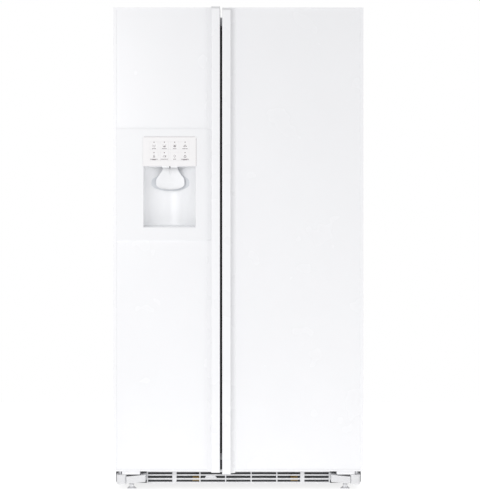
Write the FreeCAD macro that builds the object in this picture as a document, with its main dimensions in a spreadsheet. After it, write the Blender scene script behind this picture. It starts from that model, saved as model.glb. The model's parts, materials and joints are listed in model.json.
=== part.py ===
"""Side by side refrigerator with an ice and water dispenser, as a parametric FreeCAD document.

Frame: +Z up, the doors face -Y, origin on the floor under the middle of the whole appliance. Millimetres.
The freezer is on the left (-X), the fresh food compartment on the right (+X).
"""
import FreeCAD, Part
import math
import os
import re

import Sketcher
from FreeCAD import Placement, Rotation, Vector

# ---------------------------------------------------------------- driving dimensions
SIZES = {
    # whole appliance
    "overall_width": 909, "overall_height": 1766, "case_width": 904, "case_depth": 608,
    "case_top": 1742, "case_bottom": 28, "seal_gap": 15, "door_thickness": 60, "handle_reach": 33,
    "sheet_steel": 1, "skin_play": 0.3,
    # insulated box and its two compartments
    "deck_top": 110, "floor_foam": 45, "roof_foam": 50, "side_wall": 43, "back_foam": 55,
    "divider_centre": -62.5, "divider_half": 31, "liner_wall": 2,
    "hump_front": 130, "hump_top": 330, "bay_front": 175, "bay_top": 285,
    # doors
    "door_gap": 8, "door_bottom": 80, "panel_thick": 3, "edge_cap": 2, "trim_width": 11.5,
    "trim_proud": 2, "trim_band": 5, "corner_radius": 9,
    "liner_plate": 3, "liner_inset": 10, "liner_rise": 32,
    "dike_inset": 59.5, "dike_inner_inset": 41.5, "dike_low": 172, "dike_high": 1675,
    "dike_wall": 14, "dike_depth": 50,
    "seal_inset": 26.5, "seal_inner_inset": 5.5, "seal_width": 18, "seal_low": 130, "seal_high": 1715,
    # hinges: the axis stands in from the door's outer edge and back from the panel face
    "axis_inset": 24.5, "axis_back": 25, "pin_radius": 5, "pin_bore": 5.05, "pin_low": 56,
    "pin_low_top": 104, "bore_low_top": 106, "pin_high": 1712, "bore_high": 1710,
    "notch_floor": 1736, "notch_wall": 7, "notch_width": 61.5,
    "hinge_plate": 6, "boss_radius": 14, "arm_left": 2, "arm_right": 34, "arm_reach": 110,
    "hinge_cap_top": 1763, "hinge_cap_radius": 16.5,
    "lower_plate_low": 50, "riser_low": 66.5, "riser_top": 78.5, "riser_inner": 95.5, "riser_outer": 30.5,
    # handle section, from the door's inner edge and forward of the panel face
    "handle_wrap": 1.5, "handle_return": 54, "nose_width": 31.5, "nose_side": 25, "throat": 25,
    "throat_high": 17, "throat_low": 11, "cove_start": 29, "cove_high": 8, "cove_end": 47,
    "cove_lip": 1, "nose_round": 4, "handle_drop": 5.5,
    "handle_cap_high": 30, "handle_cap_low": 12, "cap_slope": 10,
    # dispenser
    "fascia_low": 920, "fascia_high": 1324, "fascia_proud": 3.5, "recess_centre": -250,
    "recess_half": 95, "recess_low": 966, "recess_high": 1189, "recess_radius": 99.5,
    "recess_axis": -337.5, "overlay_half": 97, "overlay_high": 1296, "overlay_front": -329,
    "overlay_thick": 3, "overlay_round": 5,
    "mouth_round": 5, "well_half": 102, "well_low": 958, "well_high": 1330, "well_back": -150,
    "bump_half": 112, "bump_low": 948, "bump_high": 1340, "bump_back": -142,
    "chute_half": 26, "chute_front": -316, "chute_back": -278, "chute_bend_back": 1222,
    "chute_bend_front": 1240, "inlet_front": -196, "inlet_back": -154,
    "flap_axis_y": -166, "flap_axis_z": 1324.5, "flap_reach": 35, "flap_pin": 1.5,
    "key_side": 30, "key_gap": 0.15, "key_pitch": 37.6, "key_row": 38, "key_row_low": 1225,
    "key_thick": 2.8,
    "paddle_axis": 1200, "paddle_plane": -270, "paddle_thick": 4, "paddle_neck": 26,
    "paddle_shoulder": 52, "paddle_foot": 1106, "tray_front": 2.5, "tray_back": 14,
    # base
    "grille_half": 337, "grille_low": 26, "grille_top": 76, "grille_depth": 12,
    "cover_outer": 444, "cover_knee": 408, "cover_low": 30, "cover_top": 66,
    "leg_x": 395, "leg_y": -228, "foot_radius": 17, "screw_radius": 6, "screw_top": 84,
    "roller_x": 380, "roller_y": 300, "roller_radius": 20, "roller_width": 16, "axle_radius": 4,
    "plate_steel": 2, "rail_flange": 30, "floor_top": 43, "hanger_low": 83.5,
    "can_low": 59, "can_radius": 84,
    # interior
    "shelf_front": -150, "cover_front": -118, "freezer_shelf_front": -125, "shelf_back": 290,
    "shelf_thick": 5, "shelf_play": 3,
    "drawer_front": -105, "drawer_wall": 3, "bin_wall": 2.5, "bin_deep": 92, "bin_shallow": 60,
    "dairy_y": -174, "dairy_z": 1638,
}

doc = FreeCAD.newDocument("SideBySideRefrigerator")
sheet = doc.addObject("Spreadsheet::Sheet", "Sizes")
for row, (alias, number) in enumerate(SIZES.items(), start=1):
    sheet.set(f"A{row}", alias)
    sheet.set(f"B{row}", str(number))
    sheet.setAlias(f"B{row}", alias)
doc.recompute()

# Places worked out from the driving dimensions, as expressions of the sheet's names
BACK = "(case_depth + seal_gap + door_thickness + handle_reach) / 2"
CASE_FRONT = f"({BACK} - case_depth)"
DOOR_BACK = f"({CASE_FRONT} - seal_gap)"
PANEL_FACE = f"({DOOR_BACK} - door_thickness)"
PANEL_BACK = f"({PANEL_FACE} + panel_thick)"
SHELL_BACK = f"({DOOR_BACK} - liner_plate)"
CASE_SIDE = "case_width / 2"
CASE_INNER = "(case_width / 2 - sheet_steel)"
HINGE_Y = f"({PANEL_FACE} + axis_back)"
CAVITY_LOW = "(deck_top + floor_foam)"
CAVITY_HIGH = "(case_top - roof_foam)"
CAVITY_BACK = f"({BACK} - back_foam)"
FREEZER_X = ("-(case_width / 2 - side_wall)", "divider_centre - divider_half")
FRESH_X = ("divider_centre + divider_half", "case_width / 2 - side_wall")

sub_parts = []


# ---------------------------------------------------------------- helpers
def bound(text):
    """An expression with the sheet's aliases written in full."""
    return re.sub(r"[a-z_]+", lambda m: "Sizes." + m[0] if m[0] in SIZES else m[0], str(text))


def value(text):
    """The number an expression of the sheet's names has now."""
    return float(sheet.evalExpression(bound(text)))


def node(label, shape_object):
    """Names a finished sub-part, so that it is exported under that name."""
    shape_object.Label = label
    sub_parts.append(shape_object)
    return shape_object


def box(name, x, y, z):
    """A block between pairs of expressions, in either order."""
    made = doc.addObject("Part::Box", name)
    for size, side, ends in (("Length", "x", x), ("Width", "y", y), ("Height", "z", z)):
        low, high = sorted(ends, key=value)
        made.setExpression(size, bound(f"({high}) - ({low})"))
        made.setExpression(f"Placement.Base.{side}", bound(low))
    return made


TURNS = {"z": Rotation(), "x": Rotation(Vector(0, 1, 0), 90), "y": Rotation(Vector(1, 0, 0), -90)}


def cylinder(name, axis, radius, base, length):
    """A round bar from base along +X, +Y or +Z."""
    made = doc.addObject("Part::Cylinder", name)
    made.Placement = Placement(Vector(), TURNS[axis])
    made.setExpression("Radius", bound(radius))
    made.setExpression("Height", bound(length))
    for side, text in zip("xyz", base):
        made.setExpression(f"Placement.Base.{side}", bound(text))
    return made


def fuse(name, *pieces):
    """Several pieces as one solid."""
    if len(pieces) == 1:
        return pieces[0]
    made = doc.addObject("Part::MultiFuse", name)
    made.Shapes = list(pieces)
    made.Refine = True
    return made


def cut(name, base, *tools):
    """A piece less the tools."""
    made = doc.addObject("Part::Cut", name)
    made.Base = base
    made.Tool = fuse(f"{name}_tools", *tools)
    return made


def common(name, first, second):
    """What two pieces share."""
    made = doc.addObject("Part::Common", name)
    made.Base = first
    made.Tool = second
    return made


def group(name, *pieces):
    """Separate solids kept together."""
    made = doc.addObject("Part::Compound", name)
    made.Links = list(pieces)
    return made


def ring(name, x, y, z, hole_x, hole_z):
    """Four blocks round a rectangular hole through Y; the two at the sides have the full height."""
    x, hole_x = sorted(x, key=value), sorted(hole_x, key=value)
    return [
        box(f"{name}_left", (x[0], hole_x[0]), y, z),
        box(f"{name}_right", (hole_x[1], x[1]), y, z),
        box(f"{name}_low", hole_x, y, (z[0], hole_z[0])),
        box(f"{name}_high", hole_x, y, (hole_z[1], z[1])),
    ]


def new_sketch(body, plane, offset):
    """A sketch on one of the body's origin planes, moved along its normal."""
    sketch = body.newObject("Sketcher::SketchObject", f"{body.Name}_sketch")
    support = next(f for f in body.Origin.OriginFeatures if f.Role == plane)
    sketch.AttachmentSupport = (support, [""])
    sketch.MapMode = "FlatFace"
    sketch.setExpression("AttachmentOffset.Base.z", bound(offset))
    return sketch


def draw_polygon(sketch, corners):
    """A closed outline, each corner held by its two coordinates."""
    points = [Vector(value(x), value(y), 0) for x, y in corners]
    first = sketch.GeometryCount
    count = len(points)
    for i, start in enumerate(points):
        sketch.addGeometry(Part.LineSegment(start, points[(i + 1) % count]))
    for i in range(count):
        joined = (first + i, 2, first + (i + 1) % count, 1)
        sketch.addConstraint(Sketcher.Constraint("Coincident", *joined))
    for i, corner in enumerate(corners):
        for kind, text in zip(("DistanceX", "DistanceY"), corner):
            index = sketch.addConstraint(Sketcher.Constraint(kind, first + i, 1, value(text)))
            sketch.setExpression(f"Constraints[{index}]", bound(text))


def draw_circle(sketch, x, y, radius):
    """A circle held by its centre and radius."""
    centre = Vector(value(x), value(y), 0)
    made = sketch.addGeometry(Part.Circle(centre, Vector(0, 0, 1), value(radius)))
    held = (("DistanceX", (made, 3), x), ("DistanceY", (made, 3), y), ("Radius", (made,), radius))
    for kind, point, text in held:
        index = sketch.addConstraint(Sketcher.Constraint(kind, *point, value(text)))
        sketch.setExpression(f"Constraints[{index}]", bound(text))


def rectangle(x, y):
    """Four corners from two pairs of expressions."""
    return [(x[0], y[0]), (x[1], y[0]), (x[1], y[1]), (x[0], y[1])]


def prism(name, plane, low, high, outlines, circles=()):
    """A PartDesign body padded between two levels: XY_Plane up +Z, YZ_Plane along +X, XZ_Plane along Y."""
    body = doc.addObject("PartDesign::Body", name)
    offset = f"-({high})" if plane == "XZ_Plane" else low
    sketch = new_sketch(body, plane, offset)
    for corners in outlines:
        draw_polygon(sketch, corners)
    for x, y, radius in circles:
        draw_circle(sketch, x, y, radius)
    pad = body.newObject("PartDesign::Pad", f"{name}_pad")
    pad.Profile = sketch
    pad.setExpression("Length", bound(f"({high}) - ({low})"))
    doc.recompute()
    return body


def dress(body, kind, radius, wanted):
    """Fillets or chamfers the body's edges for which wanted(edge) holds."""
    base = body.Tip
    names = [f"Edge{i}" for i, e in enumerate(base.Shape.Edges, start=1) if wanted(e)]
    made = body.newObject(f"PartDesign::{kind}", f"{body.Name}_{kind.lower()}")
    made.Base = (base, names)
    made.setExpression("Radius" if kind == "Fillet" else "Size", bound(radius))
    doc.recompute()
    return body


def runs_along(edge, direction):
    """True for a straight edge along a direction."""
    if edge.Curve.TypeId != "Part::GeomLine":
        return False
    return abs(abs(edge.Curve.Direction.dot(direction)) - 1) < 1e-6


def passes(edge, **near):
    """True if the edge's middle is near the given coordinates."""
    middle = edge.CenterOfMass
    return all(abs(getattr(middle, side) - at) < 0.2 for side, at in near.items())


def turned(name, points, x, y):
    """A PartDesign revolution about a vertical line: points are (radius, height) expressions."""
    body = doc.addObject("PartDesign::Body", name)
    sketch = new_sketch(body, "XZ_Plane", "0")
    draw_polygon(sketch, points)
    made = body.newObject("PartDesign::Revolution", f"{name}_turn")
    made.Profile = sketch
    made.ReferenceAxis = (sketch, ["V_Axis"])
    made.Angle = 360
    body.setExpression("Placement.Base.x", bound(x))
    body.setExpression("Placement.Base.y", bound(y))
    doc.recompute()
    return body


# ---------------------------------------------------------------- cabinet
def cavity(name, span, offset):
    """The space of one compartment over the machine bay's hump, taken in by offset on every wall."""
    room = box(
        f"{name}_room",
        (f"{span[0]} + {offset}", f"{span[1]} - {offset}"),
        (f"{CASE_FRONT} + sheet_steel - {offset}", f"{CAVITY_BACK} - {offset}"),
        (f"{CAVITY_LOW} + {offset}", f"{CAVITY_HIGH} - {offset}"),
    )
    hump = box(
        f"{name}_hump",
        (f"{span[0]} - 1", f"{span[1]} + 1"),
        (f"hump_front - {offset}", f"{CAVITY_BACK} + 1"),
        (f"{CAVITY_LOW} - 1", f"hump_top + {offset}"),
    )
    return cut(name, room, hump)


def build_case():
    """Steel wrapper with its front frame, the foam and the back panel."""
    inside = (f"-{CASE_INNER}", CASE_INNER)
    roof = "case_top - sheet_steel"
    skin_back = f"{BACK} - sheet_steel"
    front_y = (CASE_FRONT, f"{CASE_FRONT} + sheet_steel")
    doorway_z = (CAVITY_LOW, CAVITY_HIGH)
    doorways_x = (FREEZER_X[0], FRESH_X[1])
    sheets = ring("front_frame", inside, front_y, ("deck_top", roof), doorways_x, doorway_z)
    sheets += [
        box("front_mullion", (FREEZER_X[1], FRESH_X[0]), front_y, doorway_z),
        box("side_left", (f"-{CASE_SIDE}", f"-{CASE_INNER}"), (CASE_FRONT, BACK),
            ("case_bottom", "case_top")),
        box("side_right", (CASE_INNER, CASE_SIDE), (CASE_FRONT, BACK), ("case_bottom", "case_top")),
        box("roof_sheet", inside, (CASE_FRONT, BACK), (roof, "case_top")),
    ]
    node("cabinet_shell", group("case_sheets", *sheets))

    foam = box("foam_block", inside, (front_y[1], skin_back), ("deck_top", roof))
    bay_x = (f"-{CASE_SIDE}", CASE_SIDE)
    bay = box("machine_bay", bay_x, ("bay_front", BACK), ("deck_top - 1", "bay_top"))
    rooms = [cavity("freezer_cavity", FREEZER_X, "0"), cavity("fresh_cavity", FRESH_X, "0")]
    node("insulation", cut("foam", foam, bay, *rooms))
    panel = prism(
        "back_sheet", "XZ_Plane", skin_back, BACK, [rectangle(inside, ("bay_top", roof))]
    )
    node("rear_panel", panel)


def build_liner(label, span, ledges):
    """A moulded compartment liner with a pair of side ledges for each (height, front) in ledges."""
    outer = cavity(f"{label}_outer", span, "0")
    inner = cavity(f"{label}_inner", span, "liner_wall")
    pieces = [cut(f"{label}_walls", outer, inner)]
    for number, (height, front) in enumerate(ledges):
        low, high = f"{height} - 8", str(height)
        left = (f"{span[0]} + liner_wall", f"{span[0]} + 8")
        right = (f"{span[1]} - 8", f"{span[1]} - liner_wall")
        for side, ends in (("l", left), ("r", right)):
            ledge_name = f"{label}_ledge_{number}{side}"
            pieces.append(box(ledge_name, ends, (f"{front} + 10", "shelf_back - 5"), (low, high)))
    node(label, fuse(f"{label}_moulding", *pieces))


def build_shelves(label, span, shelves):
    """Toughened glass shelves, one plate on each pair of ledges."""
    plates = []
    for number, (height, front) in enumerate(shelves):
        x = (f"{span[0]} + liner_wall + shelf_play", f"{span[1]} - liner_wall - shelf_play")
        z = (str(height), f"{height} + shelf_thick")
        plates.append(box(f"{label}_{number}", x, (front, "shelf_back"), z))
    node(label, group(f"{label}_set", *plates))


def tub(name, x, y, z, wall, lip="0"):
    """An open-topped box; its front wall has a pull lip if lip isn't 0."""
    outer = box(f"{name}_outer", x, y, z)
    inside_x = (f"{x[0]} + {wall}", f"{x[1]} - {wall}")
    inside_y = (f"{y[0]} + {wall}", f"{y[1]} - {wall}")
    inner = box(f"{name}_inner", inside_x, inside_y, (f"{z[0]} + {wall}", f"{z[1]} + 1"))
    made = cut(f"{name}_shell", outer, inner)
    if lip == "0":
        return made
    pull = box(f"{name}_pull", x, (f"{y[0]} - {lip}", y[0]), (f"{z[1]} - 22", z[1]))
    return fuse(f"{name}_with_pull", made, pull)


# height and front edge of each shelf; the two lowest glass shelves cover the crisper drawers
FREEZER_SHELVES = [(height, "freezer_shelf_front") for height in (760, 1000, 1250)]
GLASS_SHELVES = [(372, "cover_front"), (580, "cover_front")]
GLASS_SHELVES += [(height, "shelf_front") for height in (810, 1050, 1300)]
BUCKET_LEDGE = (1345, "freezer_shelf_front")


def build_interior():
    """Liners, shelves, drawers, the freezer basket, ice maker and ice bucket, and the control housing."""
    build_liner("freezer_liner", FREEZER_X, [*FREEZER_SHELVES, BUCKET_LEDGE])
    build_liner("fresh_food_liner", FRESH_X, GLASS_SHELVES)
    build_shelves("freezer_shelves", FREEZER_X, FREEZER_SHELVES)
    build_shelves("glass_shelves", FRESH_X, GLASS_SHELVES)
    fresh_x = (f"{FRESH_X[0]} + 9", f"{FRESH_X[1]} - 9")
    freezer_x = (f"{FREEZER_X[0]} + 9", f"{FREEZER_X[1]} - 9")
    low_z = (f"{CAVITY_LOW} + liner_wall + 1", "360")
    low_y = ("drawer_front", "hump_front - liner_wall - 4")
    high_y = ("drawer_front", "250")
    node("crisper_drawer_lower", tub("crisper_low", fresh_x, low_y, low_z, "drawer_wall", "10"))
    node("crisper_drawer_upper", tub("crisper_high", fresh_x, high_y, ("378", "568"), "drawer_wall", "10"))
    node("freezer_basket", tub("basket", freezer_x, low_y, low_z, "drawer_wall", "10"))

    bucket = tub("bucket", freezer_x, ("-173", "270"), ("1345.5", "1520"), "drawer_wall")
    spout_x = ("recess_centre - 34", "recess_centre + 34")
    spout = box("bucket_spout", spout_x, ("-169", "-145"), ("1340", "1351"))
    node("ice_bucket", cut("bucket_with_spout", bucket, spout))
    maker_x = (f"{FREEZER_X[0]} + 20", f"{FREEZER_X[1]} - 22")
    mould = tub("ice_mould", maker_x, ("60", "250"), ("1585", "1640"), "14")
    head = box("ice_maker_head", maker_x, ("0", "60"), ("1560", "1676"))
    back_plate = box("ice_maker_back", maker_x, ("250", f"{CAVITY_BACK} - liner_wall"), ("1585", "1676"))
    node("ice_maker", fuse("ice_maker_body", mould, head, back_plate))
    housing_x = (f"{FRESH_X[0]} + 40", f"{FRESH_X[1]} - 40")
    housing = prism(
        "housing", "YZ_Plane", housing_x[0], housing_x[1],
        [[("0", "1690"), ("20", "1640"), ("60", "1612"), ("301", "1612"), ("301", "1690")]],
    )
    dress(housing, "Fillet", "8", lambda e: passes(e, z=1640) or passes(e, y=60))
    node("control_housing", housing)


def build_base():
    """Base frame, levelling legs, rear rollers, grille and the corner covers over the lower hinges."""
    under_deck = "deck_top - plate_steel"
    end_y = (f"{CASE_FRONT} + 2", f"{CASE_FRONT} + 4")
    rail_y = (end_y[1], f"{BACK} - 2")
    across = (f"-({CASE_INNER} - rail_flange)", f"{CASE_INNER} - rail_flange")
    wall_y = ("bay_front - plate_steel", "bay_front")
    members = [
        box("deck", (f"-{CASE_INNER}", CASE_INNER), (end_y[0], "bay_front"), (under_deck, "deck_top")),
        box("air_baffle", across, ("-205", "-202"), ("18", under_deck)),
        box("bay_wall", across, wall_y, ("40", under_deck)),
    ]
    wells = []
    for side, sign in (("left", -1), ("right", 1)):
        outer, web, flange = [
            f"{sign} * ({CASE_INNER} - {depth})" for depth in ("0", "plate_steel", "rail_flange")
        ]
        roller_mid = f"{sign} * roller_x"
        members += [
            box(f"rail_{side}_web", (outer, web), rail_y, ("30", under_deck)),
            box(f"rail_{side}_low", (web, flange), rail_y, ("30", "32")),
            box(f"rail_{side}_high", (web, flange), rail_y, ("deck_top - 5", under_deck)),
            box(f"rail_{side}_end", (outer, flange), end_y, ("30", under_deck)),
        ]
        boss_x, boss_y = (f"{sign} * (leg_x - 16)", web), ("leg_y - 14", "leg_y + 16")
        boss = box(f"boss_{side}", boss_x, boss_y, ("66", "deck_top - 5"))
        thread_from = (f"{sign} * leg_x", "leg_y", "60")
        thread = cylinder(f"thread_{side}", "z", "screw_radius + 0.05", thread_from, "30")
        members.append(cut(f"leg_boss_{side}", boss, thread))
        for end, y in (("front", -150), ("back", 60)):
            hanger_x, hanger_y = (f"{sign * 260}", f"{sign * 266}"), (f"{y}", f"{y + 6}")
            members.append(box(f"hanger_{side}_{end}", hanger_x, hanger_y, ("hanger_low", under_deck)))
        cheeks = [
            box(f"cheek_{side}_{shift}", (f"{roller_mid} + {shift}", f"{roller_mid} + {shift + 3}"),
                ("roller_y - 14", "roller_y + 14"), ("10", "floor_top - 3"))
            for shift in (-12, 9)
        ]
        axle_from = (f"{roller_mid} - 12", "roller_y", "roller_radius")
        axle = cylinder(f"axle_{side}", "x", "axle_radius", axle_from, "24")
        members.append(fuse(f"roller_fork_{side}", *cheeks, axle))
        well_x, well_y = (f"{roller_mid} - 9", f"{roller_mid} + 9"), ("roller_y - 24", "roller_y + 24")
        wells.append(box(f"well_{side}", well_x, well_y, ("38", "floor_top + 1")))
    floor_x = (f"-({CASE_INNER} - plate_steel)", f"{CASE_INNER} - plate_steel")
    floor = box("floor_sheet", floor_x, ("bay_front", f"{BACK} - 4"), ("floor_top - 3", "floor_top"))
    members.append(cut("machine_floor", floor, *wells))
    node("base_frame", group("frame_members", *members))

    for side, sign in (("left", -1), ("right", 1)):
        leg = turned(
            f"leg_{side}",
            [("0", "0"), ("foot_radius", "0"), ("foot_radius", "4"), ("9", "9"), ("9", "18"),
             ("screw_radius", "18"), ("screw_radius", "screw_top"), ("0", "screw_top")],
            f"{sign} * leg_x", "leg_y",
        )
        node(f"levelling_leg_{side}", leg)
        ends = [f"{sign} * roller_x {shift} roller_width / 2" for shift in "-+"]
        radii = ("roller_radius", "axle_radius + 0.06")
        rounds = [("roller_y", "roller_radius", radius) for radius in radii]
        roller = prism(f"roller_{side}", "YZ_Plane", *ends, [], rounds)
        dress(roller, "Fillet", "2.5", lambda e: e.Length > 100)
        node(f"rear_roller_{side}", roller)
    covers = [corner_cover(side, sign) for side, sign in (("left", -1), ("right", 1))]
    node("lower_hinge_covers", group("corner_covers", *covers))
    build_grille()


def corner_cover(side, sign):
    """The moulded cover round one lower hinge: a round-cornered block with an arm to the grille."""
    block = prism(
        f"cover_block_{side}", "XY_Plane", "cover_low", "cover_top",
        [rectangle((f"{sign} * cover_outer", f"{sign} * cover_knee"), ("-320", f"{CASE_FRONT} + 2"))],
    )
    up = Vector(0, 0, 1)
    dress(block, "Fillet", "12", lambda e: runs_along(e, up) and passes(e, y=-320))
    dress(block, "Fillet", "6", lambda e: passes(e, z=value("cover_low")) and e.CenterOfMass.y < -252)
    inner = f"{sign} * (grille_half + 2)"
    arm = prism(
        f"cover_arm_{side}", "XZ_Plane", "-318", f"{CASE_FRONT}",
        [[(f"{sign} * cover_knee", "34"), (inner, "39.5"), (inner, "65.5"),
          (f"{sign} * cover_knee", "59")]],
    )
    bracket = lower_bracket(f"cover_room_{side}", sign, "skin_play")
    pin_from = (f"{sign} * (overall_width / 2 - axis_inset)", HINGE_Y, "pin_low")
    pin_room = cylinder(f"cover_pin_room_{side}", "z", "pin_radius + 0.5", pin_from, "20")
    return cut(f"cover_{side}", fuse(f"cover_solid_{side}", block, arm), bracket, pin_room)


def lower_bracket(name, sign, play):
    """One lower hinge bracket, larger all round by play: foot under the pin, back and raised pad."""
    outer, riser_outer, inner = [
        f"{sign} * (overall_width / 2 - {inset})" for inset in
        (f"13.5 + {play}", f"riser_outer + {play}", f"riser_inner - {play}")
    ]
    back = f"{CASE_FRONT} + 2 + {play}"
    foot_z = (f"lower_plate_low - {play}", f"pin_low + {play}")
    foot = box(f"{name}_foot", (outer, inner), (f"-312 - {play}", back), foot_z)
    web = box(f"{name}_web", (riser_outer, inner), (f"-256 - {play}", back),
              (foot_z[0], f"riser_top + {play}"))
    pad_z = (f"riser_low - {play}", f"riser_top + {play}")
    pad = box(f"{name}_pad", (riser_outer, inner), (f"-314 - {play}", back), pad_z)
    return fuse(name, foot, web, pad)


GRILLE_RAILS = ((26, 31), (39.5, 44.5), (54, 58.5), (67, 76))
THICK_BARS, THIN_BARS = (-235.5, 235.5), (-141.5, -47, 47, 141.5)


def build_grille():
    """The kick grille: four rails joined by two broad and four narrow uprights and the ends."""
    front, back = f"{CASE_FRONT} - grille_depth", CASE_FRONT
    pieces = []
    for number, (low, high) in enumerate(GRILLE_RAILS):
        x = ("-grille_half", "grille_half")
        pieces.append(box(f"grille_rail_{number}", x, (front, f"{back} - 3"), (str(low), str(high))))
    z = ("grille_low", "grille_top")
    for number, at in enumerate(THICK_BARS):
        pieces.append(box(f"grille_broad_{number}", (f"{at} - 7.5", f"{at} + 7.5"), (front, back), z))
        clip_z = ("50", "grille_top")
        pieces.append(box(f"grille_clip_{number}", (f"{at} - 6", f"{at} + 6"), (back, "-205"), clip_z))
    for number, at in enumerate(THIN_BARS):
        pieces.append(box(f"grille_narrow_{number}", (f"{at} - 2", f"{at} + 2"), (front, back), z))
    for number, sign in enumerate((-1, 1)):
        x = (f"{sign} * grille_half", f"{sign} * (grille_half - 4)")
        pieces.append(box(f"grille_end_{number}", x, (front, back), z))
    node("base_grille", fuse("grille", *pieces))


def build_machinery():
    """Compressor, condenser, fan, water valve and the covers at the back."""
    can = turned(
        "compressor_can",
        [("0", "can_low"), ("70", "can_low"), ("can_radius", "can_low + 14"),
         ("can_radius", "can_low + 117"), ("62", "can_low + 154"), ("0", "can_low + 166")],
        "-250", "265",
    )
    saddle = box("compressor_saddle", ("-352", "-148"), ("195", "335"), ("can_low - 4", "can_low"))
    grommets = [
        cylinder(f"compressor_mount_{x}_{y}", "z", "9", (f"-{x}", f"{y}", "floor_top"),
                 "can_low - 4 - floor_top")
        for x in (340, 160) for y in (207, 323)
    ]
    node("compressor", group("compressor_set", can, saddle, *grommets))

    tube_radius, pitch, reach, passes_count = 3.2, 32, 300, 9
    height, start = 78, -165
    edges = []
    for i in range(passes_count):
        y = start + i * pitch
        sign = 1 if i % 2 == 0 else -1
        ends = [Vector(x, y, height) for x in (-sign * reach, sign * reach)]
        edges.append(Part.LineSegment(*ends).toShape())
        if i < passes_count - 1:
            bend = Part.Arc(
                Vector(sign * reach, y, height),
                Vector(sign * (reach + pitch / 2), y + pitch / 2, height),
                Vector(sign * reach, y + pitch, height),
            )
            edges.append(bend.toShape())
    path = Part.Wire(edges)
    section = Part.Circle(Vector(-reach, start, height), Vector(1, 0, 0), tube_radius)
    tube = path.makePipeShell([Part.Wire(section.toShape())], True, False)
    rods = []
    rod_radius, rod_pitch = 1.1, 50
    rod_y = (start - 8, start + (passes_count - 1) * pitch + 8)
    for i in range(int(2 * (reach - 20) / rod_pitch) + 1):
        x = -reach + 20 + i * rod_pitch
        foot = Vector(x, rod_y[0], height + tube_radius + rod_radius + 0.05)
        rods.append(Part.makeCylinder(rod_radius, rod_y[1] - rod_y[0], foot, Vector(0, 1, 0)))
    coil = doc.addObject("Part::Feature", "condenser")
    coil.Shape = Part.makeCompound([tube, *rods])
    node("condenser_coil", coil)

    build_fan()
    cover_y = (f"{BACK} - 2", BACK)
    cover = box("access_cover", ("-449", "449"), cover_y, ("48", "bay_top - 2"))
    through = (f"{BACK} - 3", f"{BACK} + 1")
    openings = [
        box("valve_window", ("270", "330"), through, ("120", "180")),
        cylinder("cord_hole", "y", "9", ("-330", f"{BACK} - 3", "140"), "4"),
    ]
    for column, x in enumerate(range(-280, 221, 100)):
        for row, z in enumerate((80, 100, 200, 220, 240)):
            slot_x, slot_z = (str(x), f"{x} + 70"), (str(z), f"{z} + 6")
            openings.append(box(f"louvre_{column}_{row}", slot_x, through, slot_z))
    node("rear_access_cover", cut("louvred_cover", cover, *openings))
    valve_body = box("valve_body", ("278", "322"), ("300", "344"), ("128", "172"))
    inlet = cylinder("valve_inlet", "y", "13.2", ("300", "344", "150"), "14")
    throat = cylinder("valve_bore", "y", "8", ("300", "330", "150"), "30")
    coil_can = cylinder("valve_coil", "z", "15", ("300", "318", "172"), "34")
    stand = box("valve_stand", ("288", "312"), ("318", "322"), ("floor_top", "130"))
    node("water_valve", cut("valve", fuse("valve_solid", valve_body, inlet, coil_can, stand), throat))
    rounds = [("-330", "140", radius) for radius in ("9", "4.5")]
    node("cord_bushing", prism("bushing", "XZ_Plane", f"{BACK} - 12", BACK, [], rounds))


FAN_X, FAN_Y, FAN_Z = 40, 262, 140


def build_fan():
    """Fan motor on its bracket plate, and a five-bladed fan on its shaft."""
    plate = prism(
        "fan_plate", "YZ_Plane", f"{FAN_X - 14}", f"{FAN_X - 12}",
        [rectangle(("185", "345"), ("43", "235"))], [(str(FAN_Y), str(FAN_Z), "68")],
    )
    motor = cylinder("fan_motor", "x", "26", (f"{FAN_X + 22}", f"{FAN_Y}", f"{FAN_Z}"), "42")
    strap_z = (f"{FAN_Z - 8}", f"{FAN_Z + 8}")
    spar = box("fan_spar", (f"{FAN_X + 62}", f"{FAN_X + 66}"), ("185", "345"), strap_z)
    ties = [
        box(f"fan_tie_{i}", (f"{FAN_X - 12}", f"{FAN_X + 66}"), ends, strap_z)
        for i, ends in enumerate((("185", "189"), ("341", "345")))
    ]
    shaft = cylinder("fan_shaft", "x", "3", (f"{FAN_X - 6}", f"{FAN_Y}", f"{FAN_Z}"), "30")
    node("condenser_fan_motor", fuse("fan_motor_set", plate, motor, spar, *ties, shaft))

    body = doc.addObject("PartDesign::Body", "fan_blades")
    sketch = new_sketch(body, "YZ_Plane", "0")
    draw_circle(sketch, "0", "0", "14")
    draw_circle(sketch, "0", "0", "3.05")
    hub = body.newObject("PartDesign::Pad", "fan_hub")
    hub.Profile = sketch
    hub.Length = 14
    blade_sketch = new_sketch(body, "XY_Plane", "10")
    draw_polygon(blade_sketch, [("1", "-16"), ("3.5", "-17.5"), ("13", "16"), ("10.5", "17.5")])
    blade = body.newObject("PartDesign::Pad", "fan_blade")
    blade.Profile = blade_sketch
    blade.Length = 50
    doc.recompute()
    pattern = body.newObject("PartDesign::PolarPattern", "fan_ring")
    pattern.Originals = [blade]
    pattern.Axis = (sketch, ["N_Axis"])
    pattern.Angle = 360
    pattern.Occurrences = 5
    body.Tip = pattern
    body.Placement = Placement(Vector(FAN_X - 7, FAN_Y, FAN_Z), Rotation())
    doc.recompute()
    node("condenser_fan_blade", body)


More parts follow.
